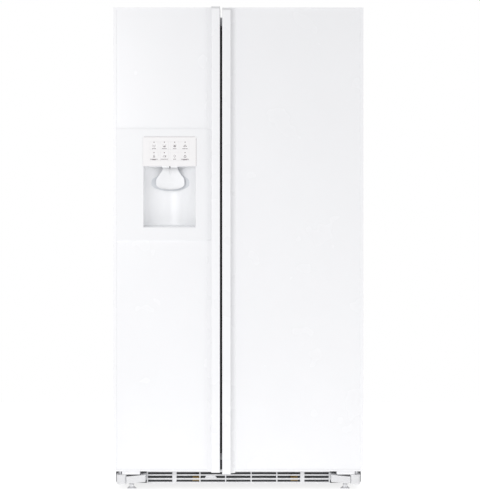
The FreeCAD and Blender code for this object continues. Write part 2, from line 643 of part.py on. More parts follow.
# ---------------------------------------------------------------- hinges
def build_hinges():
    """Lower brackets with their risers, upper arms with their caps, and the four pins."""
    lower, upper, caps, pins = [], [], [], []
    for side, sign in (("left", -1), ("right", 1)):
        axis_x = f"{sign} * (overall_width / 2 - axis_inset)"
        lower.append(lower_bracket(f"lower_bracket_{side}", sign, "0"))

        def arm(name, radius, right, low, high, back):
            disc = cylinder(f"{name}_boss_{side}", "z", radius, (axis_x, HINGE_Y, low), f"{high} - ({low})")
            x = (f"{axis_x} + {sign} * arm_left", f"{axis_x} - {sign} * ({right})")
            bar = box(f"{name}_bar_{side}", x, (HINGE_Y, f"{HINGE_Y} + {back}"), (low, high))
            return fuse(f"{name}_{side}", disc, bar)

        arm_top = "(case_top + hinge_plate)"
        cap_reach = ("arm_right + 2", arm_top, "hinge_cap_top", "arm_reach + 8")
        upper.append(arm("hinge_arm", "boss_radius", "arm_right", "case_top", arm_top, "arm_reach"))
        caps.append(arm("hinge_cap", "hinge_cap_radius", *cap_reach))
        for end, foot, top in (("low", "pin_low", "pin_low_top"), ("high", "pin_high", "case_top")):
            pin_from = (axis_x, HINGE_Y, foot)
            pins.append(cylinder(f"pin_{end}_{side}", "z", "pin_radius", pin_from, f"{top} - {foot}"))
    node("lower_hinge_brackets", group("lower_brackets", *lower))
    node("upper_hinge_brackets", group("upper_brackets", *upper))
    node("upper_hinge_covers", group("hinge_caps", *caps))
    node("hinge_pins", group("pins", *pins))


# ---------------------------------------------------------------- doors
def handle_sections(from_edge):
    """The handle in plan: its nose, its stem with the wrap round the door's edge, and the cove behind.

    The nose overhangs a finger throat, and the cove runs out on the panel.
    """
    sections = {
        "nose": [("0", "throat_high"), ("0", "handle_reach"), ("nose_width", "handle_reach"),
                 ("nose_width", "nose_side"), ("throat", "throat_high")],
        "stem": [("0", "-handle_return"), ("0", "throat_high"), ("throat", "throat_high"),
                 ("throat", "0"), ("handle_wrap", "0"), ("handle_wrap", "-handle_return")],
        "cove": [("throat", "0"), ("throat", "throat_low"), ("cove_start", "cove_high"),
                 ("cove_end", "cove_lip"), ("cove_end", "0")],
    }
    return {
        name: [(from_edge(along), f"{PANEL_FACE} - ({out})") for along, out in points]
        for name, points in sections.items()
    }


def build_handle(label, from_edge, drop, fascia_notch):
    """The full-height handle with its two end caps, set lower than the door by drop."""
    up = Vector(0, 0, 1)
    foot_top = f"door_bottom + handle_cap_low - {drop}"
    head_low = f"overall_height - handle_cap_high - {drop}"
    levels = {
        "foot": (f"door_bottom - {drop}", foot_top),
        "bar": (foot_top, head_low),
        "head": (head_low, f"overall_height - {drop}"),
    }
    parts = {
        (level, name): prism(f"{label}_{level}_{name}", "XY_Plane", low, high, [outline])
        for level, (low, high) in levels.items()
        for name, outline in handle_sections(from_edge).items()
    }
    nose_y = value(f"{PANEL_FACE} - handle_reach")
    side_x, side_y = value(from_edge("nose_width")), value(f"{PANEL_FACE} - nose_side")
    for level in levels:
        nose = parts[level, "nose"]
        dress(nose, "Fillet", "nose_round", lambda e: runs_along(e, up) and passes(e, y=nose_y))
        dress(nose, "Fillet", "2", lambda e: runs_along(e, up) and passes(e, x=side_x, y=side_y))

    slope_y = (f"{PANEL_FACE} - handle_reach - 1", f"{PANEL_FACE} - handle_reach + cap_slope")
    slope_z = (f"overall_height - cap_slope - {drop}", f"overall_height + 1 - {drop}")
    slope_x = sorted((from_edge("-1"), from_edge("nose_width + 1")), key=value)
    slope_corners = [(slope_y[0], slope_z[0]), (slope_y[1], slope_z[1]), (slope_y[0], slope_z[1])]
    slope = prism(f"{label}_slope", "YZ_Plane", *slope_x, [slope_corners])
    parts["head", "nose"] = cut(f"{label}_sloped", parts["head", "nose"], slope)
    if fascia_notch:
        notch_x = (from_edge("nose_width + 0.3"), from_edge("cove_end + 1"))
        notch_y = (PANEL_FACE, f"{PANEL_FACE} - cove_high - 1")
        notch_z = ("fascia_low - skin_play", "fascia_high + skin_play")
        notch = box(f"{label}_notch", notch_x, notch_y, notch_z)
        parts["bar", "cove"] = cut(f"{label}_notched", parts["bar", "cove"], notch)
    node(label, group(f"{label}_set", *parts.values()))


def build_door(prefix, sign, openings=()):
    """One door: foam-filled shell, liner with its dikes, seal, edge trim and handle.

    sign is -1 for the freezer door on the left and 1 for the fresh food door on the right.
    """
    from_outer = lambda inset: f"{sign} * (overall_width / 2 - ({inset}))"
    from_edge = lambda along: f"divider_centre + {sign} * (door_gap / 2 + ({along}))"
    axis_x = from_outer("axis_inset")
    body_x = (from_outer("edge_cap"), from_edge("handle_wrap"))
    low, high = "door_bottom + edge_cap", "overall_height - edge_cap"

    block = box(f"{prefix}_block", body_x, (PANEL_BACK, SHELL_BACK), (low, high))
    notch_x = (from_outer("-1"), from_outer("notch_width"))
    notch_y = (f"{PANEL_FACE} + notch_wall", f"{DOOR_BACK} + 1")
    notch = box(f"{prefix}_notch", notch_x, notch_y, ("notch_floor", "overall_height + 1"))
    corner = outer_corner(prefix, from_outer)
    bores = [
        cylinder(f"{prefix}_bore_{end}", "z", "pin_bore", (axis_x, HINGE_Y, foot), f"{top} - {foot}")
        for end, foot, top in (("low", "door_bottom", "bore_low_top"),
                               ("high", "bore_high", "notch_floor + 1"))
    ]
    node(f"{prefix}_door_shell", cut(f"{prefix}_shell", block, notch, corner, *bores, *openings))

    dike_x = (from_outer("dike_inset"), from_edge("dike_inner_inset"))
    dike_y = (DOOR_BACK, f"{DOOR_BACK} + dike_depth")
    room_x = (from_outer("dike_inset + dike_wall"), from_edge("dike_inner_inset + dike_wall"))
    room_z = ("dike_low + dike_wall", "dike_high - dike_wall")
    dikes = ring(f"{prefix}_dike", dike_x, dike_y, ("dike_low", "dike_high"), room_x, room_z)

    seal_x = (from_outer("seal_inset"), from_edge("seal_inner_inset"))
    seal_outer = rectangle(seal_x, ("seal_low", "seal_high"))
    seal_inner = rectangle(
        (from_outer("seal_inset + seal_width"), from_edge("seal_inner_inset + seal_width")),
        ("seal_low + seal_width", "seal_high - seal_width"),
    )
    seal_y = (DOOR_BACK, f"{CASE_FRONT} - skin_play")
    node(f"{prefix}_door_gasket", prism(f"{prefix}_seal", "XZ_Plane", *seal_y, [seal_outer, seal_inner]))
    build_trim(prefix, from_outer, from_edge, notch, corner)
    drop = "0" if sign < 0 else "handle_drop"
    build_handle(f"{prefix}_door_handle", from_edge, drop, fascia_notch=sign < 0)
    plate_x = (from_outer("liner_inset"), from_edge("liner_inset"))
    return dikes, plate_x, room_x, (body_x, (low, high), corner)


def outer_corner(prefix, from_outer):
    """What lies outside the rounding of the door's lower outer corner, as a tool to cut with."""
    square_x = (from_outer("-1"), from_outer("corner_radius"))
    square_y = (f"{PANEL_FACE} - 10", f"{DOOR_BACK} + 1")
    square_z = ("door_bottom - 1", "door_bottom + corner_radius")
    square = box(f"{prefix}_corner_square", square_x, square_y, square_z)
    round_from = (from_outer("corner_radius"), f"{PANEL_FACE} - 11", "door_bottom + corner_radius")
    round_bar = cylinder(f"{prefix}_corner_round", "y", "corner_radius", round_from, "door_thickness + 13")
    return cut(f"{prefix}_corner", square, round_bar)


LINER_Y = (SHELL_BACK, DOOR_BACK)
LINER_Z = ("door_bottom + liner_inset", "overall_height - liner_rise")


def build_trim(prefix, from_outer, from_edge, *cuts):
    """The edge trim: a channel down the outer edge with bands across the top and the bottom."""
    face_y = (f"{PANEL_FACE} - trim_proud", PANEL_FACE)
    side_y = (PANEL_FACE, SHELL_BACK)
    full_z = ("door_bottom", "overall_height")
    cap_x = (from_outer("edge_cap"), from_edge("handle_wrap"))
    band_x = (from_outer("trim_width"), from_edge("cove_end"))
    bars = {
        "face": ((from_outer("0"), from_outer("trim_width")), face_y, full_z),
        "side": ((from_outer("0"), from_outer("edge_cap")), side_y, full_z),
        "band_top": (band_x, face_y, ("overall_height - trim_band", "overall_height")),
        "band_low": (band_x, face_y, ("door_bottom", "door_bottom + trim_band")),
        "cap_top": (cap_x, side_y, ("overall_height - edge_cap", "overall_height")),
        "cap_low": (cap_x, side_y, ("door_bottom", "door_bottom + edge_cap")),
    }
    boxes = [box(f"{prefix}_trim_{name}", *ends) for name, ends in bars.items()]
    solid = fuse(f"{prefix}_trim_bars", *boxes)
    hole_from = (from_outer("axis_inset"), HINGE_Y, "door_bottom - 1")
    hole = cylinder(f"{prefix}_trim_hole", "z", "pin_bore + 1", hole_from, "edge_cap + 2")
    node(f"{prefix}_door_trim", cut(f"{prefix}_trim", solid, hole, *cuts))


def door_bins(prefix, room_x, bins, *others):
    """Bins held between the liner's dikes, and others kept with them.

    Each bin is given as (name, bottom, height, depth).
    """
    made = list(others)
    for name, low, height, depth in bins:
        x = sorted((f"{room_x[0]}", f"{room_x[1]}"), key=value)
        x = (f"{x[0]} + 1", f"{x[1]} - 1")
        y = (f"{DOOR_BACK} + 0.5", f"{DOOR_BACK} + 0.5 + {depth}")
        made.append(tub(f"{prefix}_{name}", x, y, (f"{low}", f"{low} + {height}"), "bin_wall"))
    node(f"{prefix}_door_bins", group(f"{prefix}_bins", *made))


def build_freezer_door():
    """The freezer door with the dispenser in it."""
    hole_x = ("recess_centre - well_half - skin_play", "recess_centre + well_half + skin_play")
    hole_z = ("well_low - skin_play", "well_high + skin_play")
    hole = box("well_hole", hole_x, (f"{PANEL_FACE} - 1", f"{SHELL_BACK} + 1"), hole_z)
    dikes, plate_x, room_x, (body_x, (low, high), corner) = build_door("freezer", -1, [hole])

    plates = ring("freezer_plate", plate_x, LINER_Y, LINER_Z, hole_x, hole_z)
    bump_x = ("recess_centre - bump_half", "recess_centre + bump_half")
    bump_y, bump_z = (DOOR_BACK, "bump_back"), ("bump_low", "bump_high")
    *walls, roof = ring("bump", bump_x, bump_y, bump_z, hole_x, hole_z)
    inlet_x = ("recess_centre - chute_half", "recess_centre + chute_half")
    inlet = box("bump_inlet", inlet_x, ("inlet_front", "inlet_back"), ("well_high - 1", "bump_high + 1"))
    bump_end = box("bump_end", hole_x, ("well_back + skin_play", "bump_back"), hole_z)
    bump = [*walls, cut("bump_roof", roof, inlet), bump_end]
    node("freezer_door_liner", group("freezer_liner_set", *plates, *dikes, *bump))

    upper = prism("freezer_panel_upper", "XZ_Plane", PANEL_FACE, PANEL_BACK,
                  [rectangle(body_x, ("fascia_high", high))])
    lower = prism("freezer_panel_lower", "XZ_Plane", PANEL_FACE, PANEL_BACK,
                  [rectangle(body_x, (low, "fascia_low"))])
    node("freezer_door_panels", group("freezer_panels", upper, cut("freezer_panel_round", lower, corner)))
    build_dispenser()
    door_bins("freezer", room_x, [
        ("bin_top", 1560, 80, "bin_shallow"), ("bin_high", 740, 110, "bin_deep"),
        ("bin_mid", 500, 110, "bin_shallow"), ("bin_low", 250, 110, "bin_shallow"),
    ])


PADDLE_AXIS, FLAP_AXIS = ("paddle_plane", "paddle_axis"), ("flap_axis_y", "flap_axis_z")


def round_corners(body, radius, height):
    """Rounds a plate's two corners at one height, seen from the front."""
    dress(body, "Fillet", radius, lambda e: runs_along(e, Vector(0, 1, 0)) and passes(e, z=value(height)))


def build_dispenser():
    """Fascia, control overlay and keys, the moulded well with its ice chute, paddle, flap and drip tray."""
    face = f"{PANEL_FACE} - fascia_proud"
    fascia_z = ("fascia_low", "fascia_high")
    inner_edge = "divider_centre - door_gap / 2"
    base_x = ("-(overall_width / 2 - edge_cap)", f"{inner_edge} - handle_wrap")
    front_x = ("-(overall_width / 2 - trim_width - skin_play)",
               f"{inner_edge} - nose_width - 2 * skin_play")
    base = box("fascia_base", base_x, (PANEL_FACE, PANEL_BACK), fascia_z)
    front = box("fascia_front", front_x, (face, PANEL_FACE), fascia_z)
    through = (f"{face} - 1", f"{PANEL_BACK} + 1")
    window_x = ("recess_centre - overlay_half - skin_play", "recess_centre + overlay_half + skin_play")
    window = prism("fascia_window", "XZ_Plane", *through,
                   [rectangle(window_x, ("recess_high", "overlay_high"))])
    round_corners(window, "overlay_round + skin_play", "overlay_high")
    mouth_x = ("recess_centre - recess_half", "recess_centre + recess_half")
    mouth = prism("fascia_mouth", "XZ_Plane", *through, [rectangle(mouth_x, ("recess_low", "recess_high"))])
    round_corners(mouth, "mouth_round", "recess_low")
    node("dispenser_fascia", cut("fascia", fuse("fascia_plate", base, front), window, mouth))

    keys = [(column, line) for line in (1, 0) for column in range(4)]
    key_x = lambda column: f"recess_centre + {column - 1.5} * key_pitch"
    key_z = lambda line: f"key_row_low + {line} * key_row"
    def key_outline(column, line, gap):
        half = f"(key_side / 2 + {gap})"
        x, z = key_x(column), key_z(line)
        return rectangle((f"{x} - {half}", f"{x} + {half}"), (f"{z} - {half}", f"{z} + {half}"))

    def overlay_outline(inset):
        half = f"(overlay_half - {inset})"
        ends = (f"recess_high + skin_play + {inset}", f"overlay_high - skin_play - {inset}")
        return rectangle((f"recess_centre - {half}", f"recess_centre + {half}"), ends)

    holes = [key_outline(column, line, "key_gap") for column, line in keys]
    plate_y = ("overlay_front", "overlay_front + overlay_thick")
    overlay = prism("overlay", "XZ_Plane", *plate_y, [overlay_outline("0"), *holes])
    rim_outlines = [overlay_outline("0"), overlay_outline("2")]
    rim = prism("overlay_rim", "XZ_Plane", plate_y[1], PANEL_BACK, rim_outlines)
    for body in (overlay, rim):
        round_corners(body, "overlay_round", "overlay_high - skin_play")
    node("dispenser_overlay", fuse("overlay_pan", overlay, rim))
    names = ("water", "crushed", "cubed", "quick_ice", "filter_reset", "lock", "light", "door_alarm")
    for name, (column, line) in zip(names, keys):
        key_y = ("overlay_front", "overlay_front + key_thick")
        key = prism(f"key_{name}", "XZ_Plane", *key_y, [key_outline(column, line, "0")])
        dress(key, "Fillet", "3", lambda e: runs_along(e, Vector(0, 1, 0)))
        node(f"key_{name}", key)

    well = box("well_block", ("recess_centre - well_half", "recess_centre + well_half"),
               (PANEL_BACK, "well_back"), ("well_low", "well_high"))
    depth_y = (f"{PANEL_BACK} - 1", f"{DOOR_BACK} + 60")
    recess_box = prism("recess_box", "XZ_Plane", *depth_y,
                       [rectangle(mouth_x, ("recess_low", "recess_high"))])
    round_corners(recess_box, "mouth_round", "recess_low")
    round_from = ("recess_centre", "recess_axis", "recess_low")
    round_back = cylinder("recess_round", "z", "recess_radius", round_from, "recess_high - recess_low")
    recess = common("recess", recess_box, round_back)
    chute = prism(
        "chute", "YZ_Plane", "recess_centre - chute_half", "recess_centre + chute_half",
        [[("chute_front", "recess_high - 1"), ("chute_back", "recess_high - 1"),
          ("chute_back", "chute_bend_back"), ("inlet_back", "well_high + 1"),
          ("inlet_front", "well_high + 1"), ("chute_front", "chute_bend_front")]],
    )
    slot_x = ("recess_centre - 27.5", "recess_centre + 27.5")
    slot_y = ("paddle_plane - 7", "paddle_plane + 9")
    slot = box("paddle_slot", slot_x, slot_y, ("recess_high - 1", "paddle_axis + 9"))
    flap_bore_from = ("recess_centre - chute_half - 5", *FLAP_AXIS)
    pivots = [
        cylinder("paddle_bore", "x", "2.55", ("recess_centre - 36", *PADDLE_AXIS), "72"),
        cylinder("flap_bore", "x", "flap_pin + 0.05", flap_bore_from, "2 * chute_half + 10"),
    ]
    node("dispenser_well", cut("well", well, recess, chute, slot, *pivots))

    half_thick = "paddle_thick / 2"
    paddle_y = (f"paddle_plane - {half_thick}", f"paddle_plane + {half_thick}")
    outline = [(f"recess_centre + {side}", z) for side, z in paddle_outline()]
    paddle = prism("paddle_plate", "XZ_Plane", *paddle_y, [outline])
    dress(paddle, "Fillet", "1.2", lambda e: passes(e, y=value(paddle_y[0])))
    barrel = cylinder("paddle_barrel", "x", "4.5", ("recess_centre - 24", *PADDLE_AXIS), "48")
    axle = cylinder("paddle_axle", "x", "2.5", ("recess_centre - 35", *PADDLE_AXIS), "70")
    node("dispenser_paddle", fuse("paddle", paddle, barrel, axle))

    flap_x = ("recess_centre - chute_half + 1", "recess_centre + chute_half - 1")
    flap_z = ("flap_axis_z - flap_pin", "flap_axis_z + flap_pin")
    flap = box("flap_plate", flap_x, ("flap_axis_y - flap_reach", "flap_axis_y"), flap_z)
    flap_pin_from = ("recess_centre - chute_half - 4", *FLAP_AXIS)
    flap_pin = cylinder("flap_axle", "x", "flap_pin", flap_pin_from, "2 * chute_half + 8")
    node("chute_flap", fuse("flap", flap, flap_pin))
    build_drip_tray()


def build_drip_tray():
    """The slotted catch shelf on the recess floor; it rises to the back."""
    x = ("recess_centre - recess_half + 1", "recess_centre + recess_half - 1")
    y = (f"{PANEL_FACE} - 2", f"{DOOR_BACK} + 60")
    low = "recess_low + 0.2"
    wedge = prism(
        "tray_wedge", "YZ_Plane", *x,
        [[(y[0], low), (y[1], low), (y[1], "recess_low + tray_back"), (y[0], "recess_low + tray_front")]],
    )
    room = prism("tray_room", "XZ_Plane", *y, [rectangle(x, (low, "recess_low + 30"))])
    round_corners(room, "mouth_round", low)
    round_from = ("recess_centre", "recess_axis", "recess_low")
    round_back = cylinder("tray_round", "z", "recess_radius - 1.2", round_from, "30")
    plan = common("tray_plan", common("tray_fitted", wedge, room), round_back)
    slots = [
        box(f"tray_slot_{i}", (f"recess_centre + {at} - 2", f"recess_centre + {at} + 2"), ("-310", "-262"),
            ("recess_low - 1", "recess_low + 30"))
        for i, at in enumerate(range(-48, 49, 12))
    ]
    node("drip_tray", cut("tray", plan, *slots))


def paddle_outline():
    """The paddle's outline: a narrow neck that flares in two coves to broad shoulders over a bowed foot."""
    neck, shoulder = value("paddle_neck"), value("paddle_shoulder")
    axis, foot = value("paddle_axis"), value("paddle_foot")
    flare_low, shoulder_low = foot + 42, foot + 20
    right = [(neck, axis)]
    steps = 6
    for i in range(steps + 1):
        angle = math.pi / 2 * i / steps
        side = shoulder - (shoulder - neck) * math.cos(angle)
        right.append((side, flare_low + 40 * (1 - math.sin(angle))))
    for i in range(1, steps + 1):
        angle = math.pi / 2 * i / steps
        right.append((shoulder * math.cos(angle), shoulder_low - 20 * math.sin(angle)))
    right.insert(steps + 2, (shoulder, shoulder_low))
    left = [(-x, z) for x, z in reversed(right) if x > 1e-6]
    return [(f"({x})", f"{z}") for x, z in right + left]


DAIRY_AXIS = ("dairy_y", "dairy_z")


def build_fresh_food_door():
    """The fresh food door with its single panel, bins and the dairy flap."""
    dikes, plate_x, room_x, (body_x, ends, corner) = build_door("fresh_food", 1)
    plate = box("fresh_food_plate", plate_x, LINER_Y, LINER_Z)
    node("fresh_food_door_liner", group("fresh_food_liner_set", plate, *dikes))
    panel = prism("fresh_panel", "XZ_Plane", PANEL_FACE, PANEL_BACK, [rectangle(body_x, ends)])
    node("fresh_food_door_panel", cut("fresh_panel_round", panel, corner))
    door_bins("fresh_food", room_x, [
        ("bin_high", 1210, 110, "bin_deep"), ("bin_mid", 930, 110, "bin_deep"),
        ("bin_low", 620, 120, "bin_deep"), ("bin_foot", 290, 110, "bin_shallow"),
    ], dairy_case(room_x))
    x = sorted(room_x, key=value)
    width = f"{x[1]} - ({x[0]})"
    flap_y = ("dairy_y - 1.5", "dairy_y + 1.5")
    flap = box("dairy_front", (f"{x[0]} + 4", f"{x[1]} - 4"), flap_y, ("1524", "dairy_z"))
    barrel = cylinder("dairy_barrel", "x", "3", (f"{x[0]} + 4", *DAIRY_AXIS), f"{width} - 8")
    axle = cylinder("dairy_axle", "x", "2", (f"{x[0]} + 1.5", *DAIRY_AXIS), f"{width} - 3")
    pull = box("dairy_pull", ("120", "260"), ("dairy_y + 1.5", "dairy_y + 9"), ("1524", "1527"))
    node("dairy_flap", fuse("dairy_door", flap, barrel, axle, pull))


def dairy_case(room_x):
    """The dairy compartment's tray with its cheeks and roof, bored for the flap's axle."""
    x = sorted(room_x, key=value)
    inner = (f"{x[0]} + 1", f"{x[1]} - 1")
    y = (f"{DOOR_BACK} + 0.5", "dairy_y - 7")
    tray = tub("dairy_tray", inner, y, ("1520", "1550"), "bin_wall")
    roof = box("dairy_roof", inner, (y[0], "dairy_y - 4"), ("1643", "1646"))
    cheeks = [
        box(f"dairy_cheek_{end}", (inner[end], f"{inner[end]} {sign} bin_wall"),
            (y[0], "dairy_y + 6"), ("1520", "1646"))
        for end, sign in enumerate("+-")
    ]
    bore = cylinder("dairy_bore", "x", "2.05", (x[0], *DAIRY_AXIS), f"{x[1]} - ({x[0]})")
    return cut("dairy_case", fuse("dairy_walls", tray, roof, *cheeks), bore)


# ---------------------------------------------------------------- build, check and write
def check_document():
    """Stops if any object of the document failed to compute or a sub-part is null or invalid."""
    failed = [o.Label for o in doc.Objects if {"Invalid", "Error"} & set(o.State)]
    bad = [o.Label for o in sub_parts if o.Shape.isNull() or not o.Shape.isValid() or o.Shape.Volume <= 0]
    if failed or bad:
        raise SystemExit(f"failed objects {failed}; bad sub-parts {bad}")


build_case()
build_interior()
build_base()
build_machinery()
build_hinges()
build_freezer_door()
build_fresh_food_door()
doc.recompute()
check_document()
os.makedirs("parts", exist_ok=True)
for sub_part in sub_parts:
    sub_part.Shape.exportStep(f"parts/{sub_part.Label}.step")
print(len(sub_parts), "sub-parts written")
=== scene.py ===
"""Looks of the side by side refrigerator: materials, fine pieces, floor, light and camera."""

import json
import math

import bmesh
import bpy
from mathutils import Matrix, Vector


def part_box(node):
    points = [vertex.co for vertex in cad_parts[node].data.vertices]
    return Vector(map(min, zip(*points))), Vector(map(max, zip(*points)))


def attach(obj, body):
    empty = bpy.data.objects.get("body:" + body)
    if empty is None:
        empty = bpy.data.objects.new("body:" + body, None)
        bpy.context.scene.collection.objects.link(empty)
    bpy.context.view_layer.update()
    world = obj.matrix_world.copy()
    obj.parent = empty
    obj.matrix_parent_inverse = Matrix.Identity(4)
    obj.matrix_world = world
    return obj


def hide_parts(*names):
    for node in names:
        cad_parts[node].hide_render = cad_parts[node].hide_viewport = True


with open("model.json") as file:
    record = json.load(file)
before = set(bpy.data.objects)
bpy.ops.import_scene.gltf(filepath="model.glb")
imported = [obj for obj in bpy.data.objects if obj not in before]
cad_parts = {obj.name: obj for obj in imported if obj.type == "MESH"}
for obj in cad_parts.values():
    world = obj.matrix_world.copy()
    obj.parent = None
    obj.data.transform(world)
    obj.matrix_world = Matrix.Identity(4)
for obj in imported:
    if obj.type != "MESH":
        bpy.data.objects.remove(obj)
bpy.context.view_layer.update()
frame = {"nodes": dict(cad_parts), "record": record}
SLOT_OF = {part["node"]: part["material_slot"] for part in frame["record"]["subparts"]}
MM = 0.001


# ---------------------------------------------------------------- materials
class Look:
    """A procedural material: a Principled shader, its nodes in object coordinates at real scale."""

    def __init__(self, name, **fixed):
        self.material = bpy.data.materials.new(name)
        self.material.use_nodes = True
        self.nodes, self.links = self.material.node_tree.nodes, self.material.node_tree.links
        self.shader = self.nodes["Principled BSDF"]
        self.place = self.nodes.new("ShaderNodeTexCoord").outputs["Object"]
        for socket, number in fixed.items():
            self.shader.inputs[socket.replace("_", " ")].default_value = number

    def stretched(self, x=1, y=1, z=1):
        """Object coordinates scaled unevenly, for brushed or drawn surfaces."""
        mapping = self.nodes.new("ShaderNodeMapping")
        mapping.inputs["Scale"].default_value = (x, y, z)
        self.links.new(self.place, mapping.inputs["Vector"])
        return mapping.outputs["Vector"]

    def noise(self, size, detail=2, place=None):
        """Soft noise whose features are about size metres across."""
        made = self.nodes.new("ShaderNodeTexNoise")
        made.inputs["Scale"].default_value = 1 / size
        made.inputs["Detail"].default_value = detail
        self.links.new(place or self.place, made.inputs["Vector"])
        return made.outputs["Fac"]

    def cells(self, size, feature="F1"):
        """Distances in a cell pattern, cells about size metres across."""
        made = self.nodes.new("ShaderNodeTexVoronoi")
        made.feature = feature
        made.inputs["Scale"].default_value = 1 / size
        self.links.new(self.place, made.inputs["Vector"])
        return made.outputs["Distance"]

    def spread(self, factor, low, high):
        """A factor from 0.3 to 0.7 mapped to low to high."""
        made = self.nodes.new("ShaderNodeMapRange")
        ends = {"From Min": 0.3, "From Max": 0.7, "To Min": low, "To Max": high}
        for socket, number in ends.items():
            made.inputs[socket].default_value = number
        self.links.new(factor, made.inputs["Value"])
        return made.outputs["Result"]

    def colour(self, factor, low, high):
        """Base colour varied between two colours."""
        ramp = self.nodes.new("ShaderNodeValToRGB")
        for element, at, rgb in zip(ramp.color_ramp.elements, (0.3, 0.7), (low, high)):
            element.position, element.color = at, (*rgb, 1)
        self.links.new(factor, ramp.inputs["Fac"])
        self.links.new(ramp.outputs["Color"], self.shader.inputs["Base Color"])
        return self

    def rough(self, factor, low, high):
        """Roughness varied between two values."""
        self.links.new(self.spread(factor, low, high), self.shader.inputs["Roughness"])
        return self

    def relief(self, *layers):
        """Bumps laid over one another: (height, depth in metres) each."""
        normal = None
        for height, depth in layers:
            bump = self.nodes.new("ShaderNodeBump")
            bump.inputs["Distance"].default_value = depth
            self.links.new(height, bump.inputs["Height"])
            if normal:
                self.links.new(normal, bump.inputs["Normal"])
            normal = bump.outputs["Normal"]
        self.links.new(normal, self.shader.inputs["Normal"])
        return self


def shade(rgb, by):
    """A colour made lighter or darker by a share."""
    return tuple(min(1, channel * by) for channel in rgb)


def moulded(name, rgb, rough=(0.25, 0.34), peel=0.03 * MM, grain=2.2 * MM, **fixed):
    """Moulded plastic or smooth paint: slight mottling, uneven gloss, and a skin peel deep
    with features about grain metres across."""
    look = Look(name, **fixed)
    wide, fine = look.noise(0.18, 3), look.noise(grain, 3)
    look.colour(wide, shade(rgb, 0.993), shade(rgb, 1.004))
    look.rough(look.noise(0.12, 2), *rough)
    return look.relief((fine, peel)).material


def pebbled(name, rgb):
    """Steel sheet with the leather-grain paint of a cabinet's sides."""
    look = Look(name, Metallic=0.0)
    look.colour(look.noise(0.25, 3), shade(rgb, 0.985), shade(rgb, 1.01))
    look.rough(look.noise(0.03, 4), 0.34, 0.46)
    grain = look.cells(3.2 * MM, "SMOOTH_F1")
    return look.relief((grain, 0.10 * MM), (look.noise(0.6 * MM), 0.02 * MM)).material


def galvanised(name, rgb):
    """Zinc-coated sheet with its crystal spangle."""
    look = Look(name, Metallic=0.85)
    spangle = look.cells(14 * MM, "SMOOTH_F1")
    look.colour(spangle, shade(rgb, 0.94), shade(rgb, 1.03))
    look.rough(look.noise(0.01, 5), 0.34, 0.46)
    return look.relief((look.noise(1.5 * MM), 0.02 * MM)).material


def drawn_metal(name, rgb, along=(1, 1, 0.04), rough=(0.22, 0.4)):
    """Bare metal with fine lines left by drawing, turning or brushing."""
    look = Look(name, Metallic=1.0)
    lines = look.noise(0.5 * MM, 3, look.stretched(*along))
    look.colour(lines, shade(rgb, 0.82), shade(rgb, 1.06)).rough(look.noise(0.004, 4), *rough)
    return look.relief((lines, 0.015 * MM)).material


def black_paint(name, rgb):
    """Baked black paint with dust in its hollows and runs of uneven gloss."""
    look = Look(name)
    look.colour(look.noise(0.02, 6), shade(rgb, 0.75), shade(rgb, 1.7))
    look.rough(look.noise(0.012, 5), 0.30, 0.55)
    return look.relief((look.noise(1.2 * MM, 4), 0.05 * MM)).material


def rubber(name, rgb):
    """Flexible sealing vinyl: matt, with a fine extruded drag along its length."""
    look = Look(name, Sheen_Weight=0.15)
    look.colour(look.noise(0.02, 5), shade(rgb, 0.93), shade(rgb, 1.04))
    look.rough(look.noise(0.006, 4), 0.55, 0.75)
    return look.relief((look.noise(0.5 * MM, 4), 0.04 * MM)).material


def foam(name, rgb):
    """Rigid foam: blown cells and a yellowed skin."""
    look = Look(name)
    look.colour(look.noise(0.03, 6), shade(rgb, 0.82), shade(rgb, 1.05))
    look.rough(look.noise(0.01, 3), 0.8, 0.95)
    return look.relief((look.cells(1.4 * MM), 0.5 * MM), (look.noise(0.02, 4), 0.6 * MM)).material


def see_through(name, rgb, ior, rough):
    """Clear plastic or glass with faint drag marks and a tint."""
    look = Look(name, Transmission_Weight=0.92, IOR=ior)
    look.colour(look.noise(0.2, 2), shade(rgb, 0.97), shade(rgb, 1.0))
    look.rough(look.noise(0.02, 4), *rough)
    return look.relief((look.noise(8 * MM, 3), 0.02 * MM)).material


def board(name, rgb):
    """Pressed fibre board: matted fibres and flecks."""
    look = Look(name)
    fibres = look.noise(0.9 * MM, 6, look.stretched(1, 1, 0.25))
    look.colour(fibres, shade(rgb, 0.72), shade(rgb, 1.2)).rough(look.noise(0.01, 3), 0.72, 0.9)
    return look.relief((fibres, 0.12 * MM)).material


def ink(name, rgb):
    """Screen-printed ink, a little uneven in density."""
    look = Look(name)
    look.colour(look.noise(0.6 * MM, 3), shade(rgb, 0.9), shade(rgb, 1.1))
    look.rough(look.noise(2 * MM), 0.45, 0.6)
    return look.relief((look.noise(0.2 * MM), 0.005 * MM)).material


